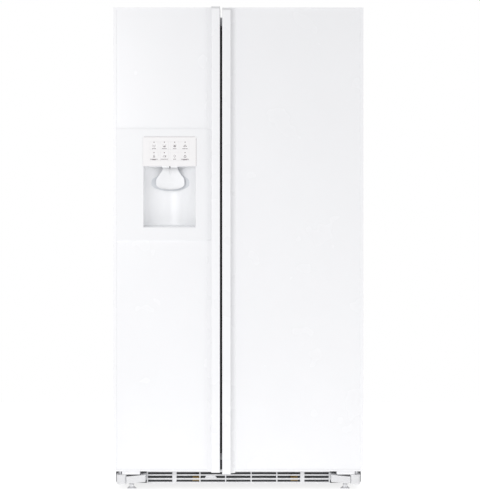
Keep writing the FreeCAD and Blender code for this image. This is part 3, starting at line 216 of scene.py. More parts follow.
WHITE = (0.895, 0.897, 0.915)
LOOKS = {
    "case_paint": pebbled("case_enamel", WHITE),
    "bare_steel": galvanised("zinc_sheet", (0.62, 0.63, 0.65)),
    # near-black: the frame's own paint, made this dark also to stand in for the shade seen under
    # the doors
    "frame_black": black_paint("frame_enamel_and_shade", (0.030, 0.031, 0.034)),
    "hinge_steel": moulded("hinge_paint", shade(WHITE, 0.97), (0.3, 0.42), 0.05 * MM, 1.5 * MM),
    "pin_steel": drawn_metal("pin_metal", (0.60, 0.60, 0.62)),
    "foam": foam("cabinet_foam", (0.86, 0.77, 0.52)),
    "door_core": moulded("door_skin", WHITE, (0.3, 0.4)),
    "liner_white": moulded("liner_plastic", (0.86, 0.875, 0.89), (0.2, 0.3),
                           0.05 * MM, 6 * MM),
    "white_panel": moulded("panel_enamel", WHITE, (0.26, 0.275), 0.02 * MM, 2.8 * MM,
                           Coat_Weight=0.1, Coat_Roughness=0.15),
    "white_trim": moulded("trim_plastic", shade(WHITE, 1.005), (0.26, 0.30)),
    "fascia_white": moulded("fascia_plastic", (0.868, 0.871, 0.888), (0.31, 0.34)),
    "overlay_white": moulded("overlay_film", (0.886, 0.874, 0.882), (0.40, 0.46),
                             0.015 * MM, 0.5 * MM),
    "key_white": moulded("key_film", (0.887, 0.875, 0.883), (0.40, 0.46), 0.015 * MM, 0.5 * MM),
    "well_white": moulded("well_plastic", (0.945, 0.95, 0.965), (0.30, 0.38)),
    "paddle_white": moulded("paddle_plastic", (0.875, 0.88, 0.895), (0.38, 0.46)),
    "tray_white": moulded("tray_plastic", (0.88, 0.89, 0.91), (0.26, 0.36)),
    "seal_grey": rubber("seal_vinyl", (0.78, 0.79, 0.80)),
    "clear_plastic": see_through("bin_acrylic", (0.93, 0.96, 0.98), 1.49, (0.04, 0.1)),
    "basket_white": moulded("basket_plastic", (0.87, 0.88, 0.89), (0.24, 0.36),
                            0.06 * MM, 3 * MM),
    "shelf_glass": see_through("shelf_glass", (0.90, 0.975, 0.95), 1.52, (0.015, 0.04)),
    "ice_maker_grey": moulded("ice_maker_metal", (0.42, 0.44, 0.46), (0.35, 0.5),
                              0.12 * MM, 1.2 * MM),
    "black_steel": black_paint("black_enamel", (0.022, 0.022, 0.025)),
    "fan_plastic": moulded("fan_plastic", (0.055, 0.056, 0.06), (0.4, 0.55),
                           0.08 * MM, 1 * MM),
    "cover_board": board("cover_fibre", (0.30, 0.30, 0.31)),
    "valve_plastic": moulded("valve_nylon", (0.83, 0.82, 0.78), (0.35, 0.5)),
    "roller_grey": moulded("roller_nylon", (0.20, 0.21, 0.22), (0.4, 0.6),
                           0.1 * MM, 1.5 * MM),
    "leg_white": moulded("leg_nylon", shade(WHITE, 1.01), (0.3, 0.42), 0.05 * MM, 1.5 * MM),
}
# the white trim made darker: painted shade for the hinge covers, grille, grille tab and end fillers
# low in the base
SHADED_BASE_TRIM = moulded("base_trim_painted_shade", shade(WHITE, 0.80), (0.34, 0.44))
PRINT = ink("caption_ink", (0.105, 0.075, 0.09))
FAINT_PRINT = ink("outline_ink", (0.36, 0.28, 0.29))
LAMP = ink("indicator_lens", (0.13, 0.085, 0.09))
# a greyer copy of the well's white: painted shade on the recess wall beside the paddle
POCKET_PAINTED_SHADE = moulded("pocket_painted_shade", (0.79, 0.81, 0.84), (0.34, 0.44))
# dark grey: painted shade down the fascia's right edge
FASCIA_EDGE_SHADE = rubber("fascia_edge_painted_shade", (0.30, 0.31, 0.34))
# near-black: painted shade in the gap between the doors
MULLION_PAINTED_SHADE = rubber("mullion_painted_shade", (0.018, 0.019, 0.021))
BRASS = drawn_metal("valve_brass", (0.50, 0.36, 0.14), (0.04, 1, 1))
SCREW = drawn_metal("screw_zinc", (0.66, 0.66, 0.67), (1, 1, 1))
LENS = see_through("lamp_lens", (0.95, 0.97, 0.98), 1.49, (0.25, 0.4))


SOFT_EDGED = {"freezer_door_trim", "fresh_food_door_trim", "dispenser_fascia", "cabinet_shell",
              "base_grille", "freezer_door_handle", "fresh_food_door_handle",
              "lower_hinge_brackets", "upper_hinge_covers"}
# nodes that take the darker white trim instead of their slot's look, as painted shade
PAINTED_SHADE_NODES = {"lower_hinge_covers", "base_grille"}


def dress_frame():
    """Every CAD node takes the look of its slot, except the lower hinge covers and the base grille,
    which take a darker copy of the white trim as painted shade; those with worn-in edges also get a
    small rounding.
    """
    for name, thing in frame["nodes"].items():
        thing.data.materials.clear()
        thing.data.materials.append(SHADED_BASE_TRIM if name in PAINTED_SHADE_NODES else LOOKS[SLOT_OF[name]])
        if name in SOFT_EDGED:
            ease(thing, 0.35 * MM)


def ease(thing, width):
    """Rounds the sharp edges a little."""
    bevel = thing.modifiers.new("eased", "BEVEL")
    bevel.width, bevel.segments, bevel.limit_method = width, 2, "ANGLE"
    bevel.angle_limit = math.radians(50)
    bevel.use_clamp_overlap = False
    return bevel


# ---------------------------------------------------------------- mesh building
class Shape:
    """A mesh under construction, in the row frame's metres."""

    def __init__(self):
        self.mesh = bmesh.new()

    def loops(self, rings, ends=True):
        """Skins a row of closed rings of points; without ends, the last ring joins the first."""
        rows = [[self.mesh.verts.new(point) for point in ring] for ring in rings]
        count = len(rows[0])
        for low, high in zip(rows, rows[1:] + rows[:1] * (not ends)):
            for i in range(count):
                j = (i + 1) % count
                self.mesh.faces.new((low[i], low[j], high[j], high[i]))
        if ends:
            self.mesh.faces.new(rows[0][::-1])
            self.mesh.faces.new(rows[-1])
        return self

    def prism(self, outline, low, high, axis="y"):
        """A flat outline carried from low to high along an axis; its pairs are the other two."""
        return self.loops([[place(pair, level, axis) for pair in outline] for level in (low, high)])

    def block(self, low, high, soft=0.0):
        """A block with its four edges along Y rounded by soft."""
        x0, y0, z0 = low
        x1, y1, z1 = high
        return self.prism(rounded(x0, z0, x1, z1, soft), y0, y1)

    def lathe(self, profile, centre, axis="z", steps=40):
        """Turns (radius, height) pairs about an axis through centre."""
        rings = []
        for radius, height in profile:
            turn = [2 * math.pi * i / steps for i in range(steps)]
            flat = [(radius * math.cos(a), radius * math.sin(a)) for a in turn]
            rings.append([Vector(centre) + place(pair, height, axis) for pair in flat])
        return self.loops(rings)

    def tube(self, points, radius, sides=12):
        """A round bar along a line of points."""
        points = [Vector(point) for point in points]
        rings = []
        side = None
        for i, point in enumerate(points):
            ahead = (points[min(i + 1, len(points) - 1)] - points[max(i - 1, 0)]).normalized()
            if side is None:
                side = ahead.orthogonal().normalized()
            side = (side - ahead * side.dot(ahead)).normalized()
            over = ahead.cross(side)
            turn = [2 * math.pi * k / sides for k in range(sides)]
            rings.append([point + (side * math.cos(a) + over * math.sin(a)) * radius for a in turn])
        return self.loops(rings)

    def frame(self, x0, z0, x1, z1, profile):
        """A mitred frame in the XZ plane: profile pairs are (distance in from the edge, y)."""
        def corners(inset, y):
            flat = rounded(x0 + inset, z0 + inset, x1 - inset, z1 - inset, 0)
            return [Vector((x, y, z)) for x, z in flat]
        return self.loops([corners(*pair) for pair in profile], ends=False)

    def piece(self, name, look, body, slot, smooth=True, replaces=(), eased=0.0):
        """The finished object, riding on its body."""
        bmesh.ops.remove_doubles(self.mesh, verts=self.mesh.verts, dist=1e-6)
        bmesh.ops.recalc_face_normals(self.mesh, faces=self.mesh.faces)
        data = bpy.data.meshes.new(name)
        self.mesh.to_mesh(data)
        self.mesh.free()
        if smooth:
            data.shade_smooth()
            data.set_sharp_from_angle(angle=math.radians(38))
        made = bpy.data.objects.new(name, data)
        bpy.context.collection.objects.link(made)
        data.materials.append(look)
        if eased:
            ease(made, eased).harden_normals = True
        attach(made, body)
        if replaces:
            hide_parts(*replaces)
        return made


def place(pair, level, axis):
    """A point from two coordinates across an axis and one along it."""
    a, b = pair
    return Vector({"x": (level, a, b), "y": (a, level, b), "z": (a, b, level)}[axis])


def rounded(x0, z0, x1, z1, radius, steps=6):
    """A rectangle with rounded corners, anticlockwise."""
    if radius <= 0:
        return [(x0, z0), (x1, z0), (x1, z1), (x0, z1)]
    outline = []
    for cx, cz, start in ((x1 - radius, z0 + radius, -90), (x1 - radius, z1 - radius, 0),
                          (x0 + radius, z1 - radius, 90), (x0 + radius, z0 + radius, 180)):
        for i in range(steps + 1):
            angle = math.radians(start + 90 * i / steps)
            outline.append((cx + radius * math.cos(angle), cz + radius * math.sin(angle)))
    return outline


def arc(cx, cz, radius, start, end, steps=16):
    """Points of an arc, angles in degrees."""
    angles = [math.radians(start + (end - start) * i / steps) for i in range(steps + 1)]
    return [(cx + radius * math.cos(a), cz + radius * math.sin(a)) for a in angles]


# ---------------------------------------------------------------- control overlay
class Print:
    """Marks printed on a key: thin raised ink on its front face, about a centre."""

    THICK = 0.06 * MM

    def __init__(self, x, z, face):
        self.shape, self.x, self.z, self.face = Shape(), x, z, face

    def fill(self, outline, scale=1.25):
        """A solid mark; the outline is in units of scale millimetres about the centre."""
        points = [(self.x + a * scale * MM, self.z + b * scale * MM) for a, b in outline]
        self.shape.prism(points, self.face - self.THICK, self.face)

    def line(self, points, width=0.7):
        """A stroked line through points in millimetres."""
        for (ax, az), (bx, bz) in zip(points, points[1:]):
            long = math.hypot(bx - ax, bz - az)
            nx, nz = (az - bz) / long * width / 2, (bx - ax) / long * width / 2
            self.fill([(ax + nx, az + nz), (ax - nx, az - nz),
                       (bx - nx, bz - nz), (bx + nx, bz + nz)])

    def square(self, x, z, side, tilt=0):
        """A small ice cube, turned by tilt degrees."""
        turn = [math.radians(tilt + 45 + 90 * i) for i in range(4)]
        half = side / math.sqrt(2)
        self.fill([(x + half * math.cos(a), z + half * math.sin(a)) for a in turn])

    def glass(self):
        """A tumbler's outline."""
        self.line([(-4, 3.5), (-2.8, -3.5), (2.8, -3.5), (4, 3.5)])


def mark_water(art):
    art.glass()
    art.line([(-3.4, 1.2), (-1.2, 0.6), (1.2, 1.6), (3.4, 1)], 0.6)


def mark_crushed(art):
    art.glass()
    for x, z, tilt in ((-1.5, -2, 10), (0.2, -1.3, 40), (1.6, -2.2, 20), (-0.4, -2.9, 0),
                       (0.9, 0, 30)):
        art.square(x, z, 1.5, tilt)


def mark_cubed(art):
    art.glass()
    for x, z, tilt in ((-1, -1.6, 12), (1.4, -1.2, -10), (0.2, 1.4, 25)):
        art.square(x, z, 2.3, tilt)


def mark_quick_ice(art):
    for x, z, tilt in ((-3.4, -1.8, 5), (0, -2, -8), (3.4, -1.8, 12), (-1.8, 1.4, 20),
                       (1.9, 1.5, -15)):
        art.square(x, z, 2.2, tilt)


def mark_filter(art):
    art.line([(-1, 3.6), (1, 3.6), (1, 1.8), (3, -3.4), (-3, -3.4), (-1, 1.8), (-1, 3.6)])
    for z in (-0.8, -2.0):
        art.line([(-1.5, z), (1.5, z)], 0.6)


def mark_alarm(art):
    art.line(arc(-0.6, 0, 2.6, 0, 360, 20))
    for radius in (4.2, 5.4):
        art.line(arc(-0.6, 0, radius, -35, 35, 6))
    art.line([(-5, 0), (-3.6, 0)])


def mark_bulb(art):
    art.line(arc(0, 1, 2.9, -60, 240, 20))
    art.line([(-1.3, -1.5), (-1.1, -3.1), (1.1, -3.1), (1.3, -1.5)], 0.6)
    art.line([(0, -3.2), (0, -4.2)], 1.0)


def mark_lock(art):
    body = rounded(-3.2, -3.4, 3.2, 0.8, 0.7, 3)
    art.line(body + body[:1], 1.0)
    art.line(arc(0, 1.2, 2.1, 0, 180, 10), 0.9)
    art.line([(0, -0.8), (0, -2.2)], 0.9)


# each key's drawing, and the width in millimetres of each row of caption bars under it
KEYS = {
    "key_water": (mark_water, (14.6,)),
    "key_crushed": (mark_crushed, (18,)),
    "key_cubed": (mark_cubed, (13,)),
    "key_quick_ice": (mark_quick_ice, (19.5,)),
    "key_filter_reset": (mark_filter, (27, 13)),
    "key_lock": (mark_alarm, (26.5,)),
    "key_light": (mark_bulb, (11,)),
    "key_door_alarm": (mark_lock, (28, 16)),
}


CAPTION_TOP, CAPTION_STEP, CAPTION_TALL = -9.6, 2.4, 2.0     # millimetres from a key's centre


def print_keys():
    """A drawing and plain caption bars on every key, and a lamp on each but the light's."""
    for name, (draw, captions) in KEYS.items():
        low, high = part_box(name)
        x, z, face = (low[0] + high[0]) / 2, (low[2] + high[2]) / 2, low[1]
        art = Print(x, z, face)
        draw(art)
        for line, width in enumerate(captions):
            top = CAPTION_TOP - CAPTION_STEP * line
            dashes = max(3, round(width / 3.5))
            pitch = width / dashes
            for i in range(dashes):
                start = -width / 2 + i * pitch
                art.fill(rounded(start, top - CAPTION_TALL, start + pitch - 0.5, top, 0), 1)
        art.shape.piece(f"{name}_print", PRINT, f"{name}_body", "key_white", smooth=False)
        if name == "key_light":
            continue
        lamp = Shape()
        dome = [(1.8 * MM, 0), (1.7 * MM, -0.25 * MM), (1.1 * MM, -0.45 * MM),
                (0.3 * MM, -0.5 * MM)]
        lamp.lathe(dome, (x, face, z + 13.2 * MM), "y", 20)
        lamp.piece(f"{name}_lamp", LAMP, f"{name}_body", "key_white")


# where the painted shade strip by the fascia ends wide below and starts narrow above
EDGE_SHADE_LOWER_TOP, EDGE_SHADE_UPPER_FOOT = 1.13, 1.1305


def outline_overlay():
    """The overlay's thin printed edges, and a dark grey strip down the fascia's right edge: painted
    shade for the shadow beside the fascia, wider in its lower part.
    """
    low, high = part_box("dispenser_overlay")
    bead, thin = 0.8 * MM, 0.1 * MM
    edge = Shape()
    edge.block((low[0] + 4 * MM, low[1] - thin, high[2] - bead),
               (high[0] - 4 * MM, low[1], high[2]))
    edge.block((high[0] - bead, low[1] - thin, low[2]), (high[0], low[1], high[2] - 4 * MM))
    edge.piece("overlay_edge", FAINT_PRINT, "freezer_door", "overlay_white", smooth=False)
    low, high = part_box("dispenser_fascia")
    edge_shade = Shape()
    near, far = low[1] - 0.15 * MM, low[1] + 1 * MM
    edge_shade.block((high[0] - 1.4 * MM, near, low[2] + 4 * MM), (high[0], far, EDGE_SHADE_LOWER_TOP),
               0.4 * MM)
    edge_shade.block((high[0] - 0.8 * MM, near, EDGE_SHADE_UPPER_FOOT), (high[0], far, high[2] - 4 * MM),
               0.3 * MM)
    edge_shade.piece("fascia_edge_shade_strip", FASCIA_EDGE_SHADE, "freezer_door", "seal_grey")


# ---------------------------------------------------------------- dispenser
RECESS_TOP, RECESS_FLOOR = 1.189, 0.966
RECESS_AXIS_Y, RECESS_RADIUS = -0.3375, 0.0995      # of its curved back wall
PADDLE_PLANE, PADDLE_AXIS_Z = -0.270, 1.200         # y and z of the paddle's hinge line
FOOT_ROUND = 20 * MM                                # height of the paddle's rounded foot
# half widths in millimetres, by height in metres, of the paddle above its foot
PADDLE = ((1.210, 26), (1.187, 26.5), (1.176, 30), (1.166, 36), (1.152, 46.5), (1.145, 51),
          (1.139, 52), (1.0, 52))
# and of the patch of painted shade on the wall behind it, beside the paddle's shoulders
POCKET = ((1.1885, 29), (1.178, 32), (1.168, 37), (1.160, 44), (1.153, 54), (1.148, 63),
          (1.142, 68), (1.132, 70), (1.122, 69), (1.115, 62), (1.110, 52), (1.106, 38),
          (1.1035, 22), (1.1025, 8))


def sculpt_paddle():
    """The dished paddle: a grooved neck that flares in two coves to a broad bowed foot."""
    low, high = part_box("dispenser_paddle")
    centre, half = (low[0] + high[0]) / 2, (high[0] - low[0]) / 2
    foot = low[2]
    shoulder_low = foot + FOOT_ROUND

    def half_width(z):
        if z < shoulder_low:
            return half * math.sqrt(max(0.0004, 1 - ((shoulder_low - z) / FOOT_ROUND) ** 2))
        for (top, wide_top), (below, wide_below) in zip(PADDLE, PADDLE[1:]):
            if z >= below:
                share = (top - z) / (top - below)
                return (wide_top + (wide_below - wide_top) * share) * MM
        return half

    levels = [PADDLE_AXIS_Z - 3 * MM - i * 3.2 * MM for i in range(22)]
    levels = [z for z in levels if z > shoulder_low]
    levels += [shoulder_low - FOOT_ROUND * math.sin(math.pi / 2 * i / 9) for i in range(10)]
    across = [math.copysign(abs(i / 16) ** 1.3, i) for i in range(-16, 17)]
    front, back = [], []
    for z in levels:
        width = half_width(z)
        drop = (PADDLE_AXIS_Z - z) / (PADDLE_AXIS_Z - foot)
        rim = -3.2 * MM * drop
        dish = 5.5 * MM * min(1, max(0, (drop - 0.25) / 0.5))
        neck = min(1, max(0, (0.45 - drop) / 0.12))
        row = []
        for u in across:
            hollow = dish * (1 - u * u) ** 1.5
            groove = 3.0 * MM * math.exp(-((u * width) / (1.6 * MM)) ** 2) * neck
            depth = PADDLE_PLANE - 2 * MM + rim + hollow + groove
            row.append(Vector((centre + u * width, depth, z)))
        front.append(row)
        back.append([point + Vector((0, 4.2 * MM, 0)) for point in row])
    rings = [near + far[::-1] for near, far in zip(front, back)]
    shape = Shape()
    shape.loops(rings)
    barrel = [(2.5, -35), (2.5, -24.2), (4.5, -24), (4.5, 24), (2.5, 24.2), (2.5, 35)]
    shape.lathe([(r * MM, along * MM) for r, along in barrel],
                (centre, PADDLE_PLANE, PADDLE_AXIS_Z), "x", 24)
    shape.piece("paddle_moulding", LOOKS["paddle_white"], "dispenser_paddle_body", "paddle_white",
                replaces=("dispenser_paddle",), eased=0.5 * MM)


def fit_recess():
    """A shallow apron that hides the top of the paddle's neck, and the water spout."""
    low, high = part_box("dispenser_overlay")
    centre = (low[0] + high[0]) / 2
    top, foot = RECESS_TOP + 1 * MM, RECESS_TOP - 4.2 * MM
    apron = Shape()
    outline = [(centre - 31 * MM, top), (centre - 27 * MM, foot),
               (centre + 27 * MM, foot), (centre + 31 * MM, top)]
    apron.prism(outline, low[1] + 6.5 * MM, low[1] + 12 * MM)
    apron.piece("dispenser_apron", LOOKS["well_white"], "freezer_door", "well_white",
                eased=0.6 * MM)
    spout = Shape()
    bore = [(1.5, 0.0), (1.5, -7.0), (1.3, -7.4), (0.8, -7.4), (0.7, -5.0)]
    spout.lathe([(r * MM, drop * MM) for r, drop in bore],
                (centre + 1 * MM, low[1] + 4.7 * MM, RECESS_TOP), "z", 20)
    spout.piece("water_spout", LOOKS["fan_plastic"], "freezer_door", "well_white")


def paint_pocket_shade():
    """A thin darker patch following the recess's curved wall behind the paddle: painted shade
    beside the paddle's shoulders, where it swings back.
    """
    low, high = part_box("dispenser_well")
    centre = (low[0] + high[0]) / 2
    rings = []
    for height, half in POCKET:
        across = [half * MM * i / 14 for i in range(-14, 15)]
        wall = [RECESS_AXIS_Y + math.sqrt(RECESS_RADIUS ** 2 - x ** 2) for x in across]
        near = [Vector((centre + x, y - 0.5 * MM, height)) for x, y in zip(across, wall)]
        far = [Vector((centre + x, y + 0.4 * MM, height)) for x, y in zip(across, wall)]
        rings.append(near + far[::-1])
    pocket = Shape()
    pocket.loops(rings)
    pocket.piece("paddle_pocket_shade", POCKET_PAINTED_SHADE, "freezer_door", "well_white")


TRAY_FRONT, TRAY_BACK = -0.327, -0.205
SLOT_FRONT, SLOT_BACK = -0.3095, -0.2625
SLOT_PITCH, SLOT_HALF = 12 * MM, 1.95 * MM


def line_tray():
    """The shallow floors of the drip tray's slots, 0.7 mm under its sloping top."""
    low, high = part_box("drip_tray")
    centre = (low[0] + high[0]) / 2
    section = [(y, RECESS_FLOOR + 0.5 * MM) for y in (SLOT_FRONT, SLOT_BACK)]
    for y in (SLOT_BACK, SLOT_FRONT):
        share = (y - TRAY_FRONT) / (TRAY_BACK - TRAY_FRONT)
        section.append((y, RECESS_FLOOR + (2.5 + 11.5 * share - 0.7) * MM))
    floors = Shape()
    for i in range(-4, 5):
        x = centre + i * SLOT_PITCH
        floors.prism(section, x - SLOT_HALF, x + SLOT_HALF, "x")
    floors.piece("tray_slot_floors", LOOKS["tray_white"], "drip_tray_body", "tray_white")


# ---------------------------------------------------------------- base
HINGE_BOLTS_X = (0.378, 0.405)      # of the right pair; the left is its mirror image


def fit_base():
    """The grille's pull tab and end fillers, the brass fittings behind it and the hinge bolts."""
    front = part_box("base_grille")[0][1]
    # the tab and end fillers take the same darker white trim: painted shade, as on the grille
    tab = Shape()
    tab.prism([(-0.123, 0.0455), (-0.079, 0.0455), (-0.088, 0.0560), (-0.117, 0.0560)],
              front - 0.8 * MM, front + 6 * MM)
    tab.prism([(-0.121, 0.0445), (-0.081, 0.0445), (-0.081, 0.0462), (-0.121, 0.0462)],
              front - 2.0 * MM, front + 1 * MM)
    tab.piece("grille_tab", SHADED_BASE_TRIM, "cabinet", "white_trim", eased=0.5 * MM)
    root, crest, pitch = 11 * MM, 12.5 * MM, 3 * MM
    ribs = []
    for i in range(9):
        ribs += [(root, i * pitch), (crest, i * pitch + 0.8 * MM),
                 (crest, i * pitch + 1.8 * MM), (root, i * pitch + 2.6 * MM)]
    for side, x in (("left", -0.157), ("right", 0.206)):
        tube = Shape()
        tube.lathe(ribs, (x - 13 * MM, -0.224, 0.042), "x", 28)
        tube.piece(f"brass_fitting_{side}", BRASS, "cabinet", "pin_steel")
    fillers = Shape()
    for side in (-1, 1):
        x = sorted((side * 0.3395, side * 0.3355))
        fillers.block((x[0], front + 2 * MM, 0.0395), (x[1], front + 9 * MM, 0.0655))
    fillers.piece("grille_end_fillers", SHADED_BASE_TRIM, "cabinet", "white_trim")
    bolts = Shape()
    head = [(5 * MM, -1.6 * MM), (5 * MM, 0.0), (4.2 * MM, 1.2 * MM), (1.0 * MM, 1.2 * MM)]
    for side in (-1, 1):
        for x in HINGE_BOLTS_X:
            bolts.lathe(head, (side * x, -0.283, 0.0785 - 0.5 * MM), "z", 6)
    bolts.piece("lower_hinge_bolts", SCREW, "cabinet", "hinge_steel", smooth=False)


def fit_hinge_caps():
    """A screw with a hollow head in each upper hinge cap."""
    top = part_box("upper_hinge_covers")[1][2]
    head = [(4.6 * MM, -1 * MM), (4.6 * MM, 0.3 * MM), (3.6 * MM, 1.3 * MM), (1.6 * MM, 1.8 * MM),
            (0.9 * MM, 0.6 * MM)]
    for side, x in (("left", -0.414), ("right", 0.414)):
        screw = Shape()
        screw.lathe(head, (x, -0.215, top), "z", 28)
        screw.piece(f"hinge_cap_screw_{side}", SCREW, "cabinet", "pin_steel")


# ---------------------------------------------------------------- door seals and bins
# millimetres in from the seal's outer edge, and the share of its depth behind its front
SEAL = ((0.0, 0), (0.0, 0.12), (2.6, 0.20), (2.6, 0.34), (0.4, 0.42), (0.4, 0.56), (2.2, 0.64),
        (0.6, 0.74), (0.6, 0.94), (1.6, 1), (15.8, 1), (17.4, 0.94), (17.4, 0.74), (15.6, 0.64),
        (17.6, 0.5), (17.6, 0.36), (15.4, 0.24), (18.0, 0.12), (18.0, 0))


def fit_seals():
    """Each door's magnetic seal: a fluted bellows between its dart and its flat magnet pocket."""
    for prefix in ("freezer", "fresh_food"):
        node = f"{prefix}_door_gasket"
        low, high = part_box(node)
        deep = high[1] - low[1]
        seal = Shape()
        seal.frame(low[0], low[2], high[0], high[2],
                   [(inset * MM, low[1] + share * deep) for inset, share in SEAL])
        seal.piece(f"{prefix}_door_seal", LOOKS["seal_grey"], f"{prefix}_door", "seal_grey",
                   replaces=(node,))


MULLION_FOOT, MULLION_TOP = 0.135, 1.710


def line_mullion():
    """A near-black facing on the mullion between the two doors' seals: painted shade for the dark
    gap between the doors.
    """
    left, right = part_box("freezer_door_gasket")[1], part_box("fresh_food_door_gasket")[0]
    back = left[1]
    facing = Shape()
    section = [(left[0] + 0.6 * MM, back - 0.1 * MM), (right[0] - 0.6 * MM, back - 0.1 * MM),
               (right[0] - 1.2 * MM, back - 1.0 * MM), (left[0] + 1.2 * MM, back - 1.0 * MM)]
    facing.prism(section, MULLION_FOOT, MULLION_TOP, "z")
    facing.piece("mullion_shade_facing", MULLION_PAINTED_SHADE, "cabinet", "case_paint")


# each door's bins: their span in x, then the foot, height and depth of each
BINS = {
    "freezer": ((-0.380, -0.123), ((1.560, 0.080, 0.060), (0.740, 0.110, 0.092),
                                   (0.500, 0.110, 0.060), (0.250, 0.110, 0.060))),
    "fresh_food": ((-0.002, 0.380), ((1.210, 0.110, 0.092), (0.930, 0.110, 0.092),
                                     (0.620, 0.120, 0.092), (0.290, 0.110, 0.060))),
}
DOOR_BACK = -0.265


def trim_bins():
    """A white rail along each door bin's rim and a lip along its foot."""
    for prefix, (span, bins) in BINS.items():
        for number, (foot, height, depth) in enumerate(bins):
            face = DOOR_BACK + 0.5 * MM + depth
            top = foot + height
            rail = Shape()
            rim = rounded(face - 3.4 * MM, top - 13 * MM, face + 2.0 * MM, top + 2.5 * MM,
                          1.6 * MM, 4)
            rail.prism(rim, span[0], span[1], "x")
            lip = rounded(face - 0.5 * MM, foot + 6 * MM, face + 1.2 * MM, foot + 9 * MM,
                          0.8 * MM, 3)
            rail.prism(lip, span[0] + 4 * MM, span[1] - 4 * MM, "x")
            rail.piece(f"{prefix}_bin_rail_{number}", LOOKS["white_trim"], f"{prefix}_door",
                       "white_trim")


# ---------------------------------------------------------------- compartments
# each room's side walls, then the height and the front edge of each of its shelves
SHELVES = {
    "freezer": ((-0.407, -0.0955), ((0.760, -0.125), (1.000, -0.125), (1.250, -0.125))),
    "fresh": ((-0.0295, 0.407), ((0.372, -0.118), (0.580, -0.118), (0.810, -0.150),
                                 (1.050, -0.150), (1.300, -0.150))),
}
SHELF_BACK = 0.290
DRAWER_SHELF_TOP = 0.400        # shelves below this have a lower lip, clear of the drawer above


def trim_shelves():
    """Moulded trims on the front and back edges of the glass shelves."""
    for room, (walls, levels) in SHELVES.items():
        x0, x1 = walls[0] + 4.2 * MM, walls[1] - 4.2 * MM
        for number, (height, front) in enumerate(levels):
            trim = Shape()
            lip = (4.6 if height < DRAWER_SHELF_TOP else 7) * MM
            nose = rounded(front - 6 * MM, height - 3.5 * MM, front + 4 * MM, height + lip,
                           2.6 * MM, 5)
            trim.prism(nose, x0, x1, "x")
            tail = rounded(SHELF_BACK - 5 * MM, height - 2 * MM,
                           SHELF_BACK + 1.5 * MM, height + 14 * MM, 1.4 * MM, 4)
            trim.prism(tail, x0, x1, "x")
            trim.piece(f"{room}_shelf_trim_{number}", LOOKS["white_trim"], "cabinet", "white_trim")


DUCT_FACE, DUCT_BACK = 0.2935, 0.3005


def louvred_panel(name, x0, x1, z0, z1, vents):
    """A moulded duct cover with three hoods over its air slots at each vent's height."""
    cover = Shape()
    cover.block((x0, DUCT_FACE, z0), (x1, DUCT_BACK, z1), 8 * MM)
    width, middle = (x1 - x0) * 0.62, (x0 + x1) / 2
    for height in vents:
        for step in range(3):
            at = height + step * 11 * MM
            hood = [(DUCT_FACE + 0.4 * MM, at), (DUCT_FACE - 3.2 * MM, at - 5 * MM),
                    (DUCT_FACE - 3.4 * MM, at - 6.4 * MM), (DUCT_FACE + 0.4 * MM, at - 3 * MM)]
            cover.prism(hood, middle - width / 2, middle + width / 2, "x")
    cover.piece(name, LOOKS["liner_white"], "cabinet", "liner_white", eased=0.8 * MM)


KNOB_NOTCHES = 48
KNOB_Y, KNOB_Z = 0.0085, 1.6667
KNOB_TILT = math.atan2(50, 20)          # of the control housing's sloping front
FREEZER_CEILING = 1.690


def fit_rooms():
    """Duct covers, control knobs and lamp lenses."""
    louvred_panel("evaporator_cover", -0.396, -0.107, 0.345, 1.560, (0.45, 0.70, 0.94, 1.19, 1.45))
    louvred_panel("air_tower", 0.130, 0.250, 0.640, 1.590, (0.72, 0.95, 1.19, 1.45))
    low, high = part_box("control_housing")
    x0, x1 = low[0], high[0]
    for number, share in enumerate((0.3, 0.7)):
        x = x0 + (x1 - x0) * share
        knob = Shape()
        tilt = Matrix.Rotation(KNOB_TILT, 3, "X")
        centre = Vector((x, KNOB_Y, KNOB_Z))
        rings = []
        for share_out, height in ((1, 0), (1, 7 * MM), (0.93, 10 * MM), (0.55, 11 * MM)):
            ring = []
            for i in range(KNOB_NOTCHES):
                radius = (15.9 if i % 2 else 15) * MM * share_out
                angle = 2 * math.pi * i / KNOB_NOTCHES
                point = Vector((radius * math.cos(angle), radius * math.sin(angle), height))
                ring.append(centre + tilt @ point)
            rings.append(ring)
        knob.loops(rings)
        knob.piece(f"control_knob_{number}", LOOKS["white_trim"], "cabinet", "white_trim")
    foot = low[2]
    lens = Shape()
    lens.block((x0 + 40 * MM, 0.085, foot - 5 * MM), (x1 - 40 * MM, 0.270, foot + 0.5 * MM), 2 * MM)
    for i in range(16):
        y = 0.092 + i * 0.011
        lens.block((x0 + 46 * MM, y, foot - 6.5 * MM),
                   (x1 - 46 * MM, y + 5 * MM, foot - 4.5 * MM), 0.9 * MM)
    lens.piece("fresh_lamp_lens", LENS, "cabinet", "clear_plastic")
    lamp = Shape()
    lamp.block((-0.320, -0.200, FREEZER_CEILING - 14 * MM), (-0.180, -0.120, FREEZER_CEILING),
               4 * MM)
    for i in range(7):
        y = -0.194 + i * 0.0105
        lamp.block((-0.312, y, FREEZER_CEILING - 15.5 * MM),
                   (-0.188, y + 5 * MM, FREEZER_CEILING - 13.5 * MM), 0.9 * MM)
    lamp.piece("freezer_lamp_lens", LENS, "cabinet", "clear_plastic")


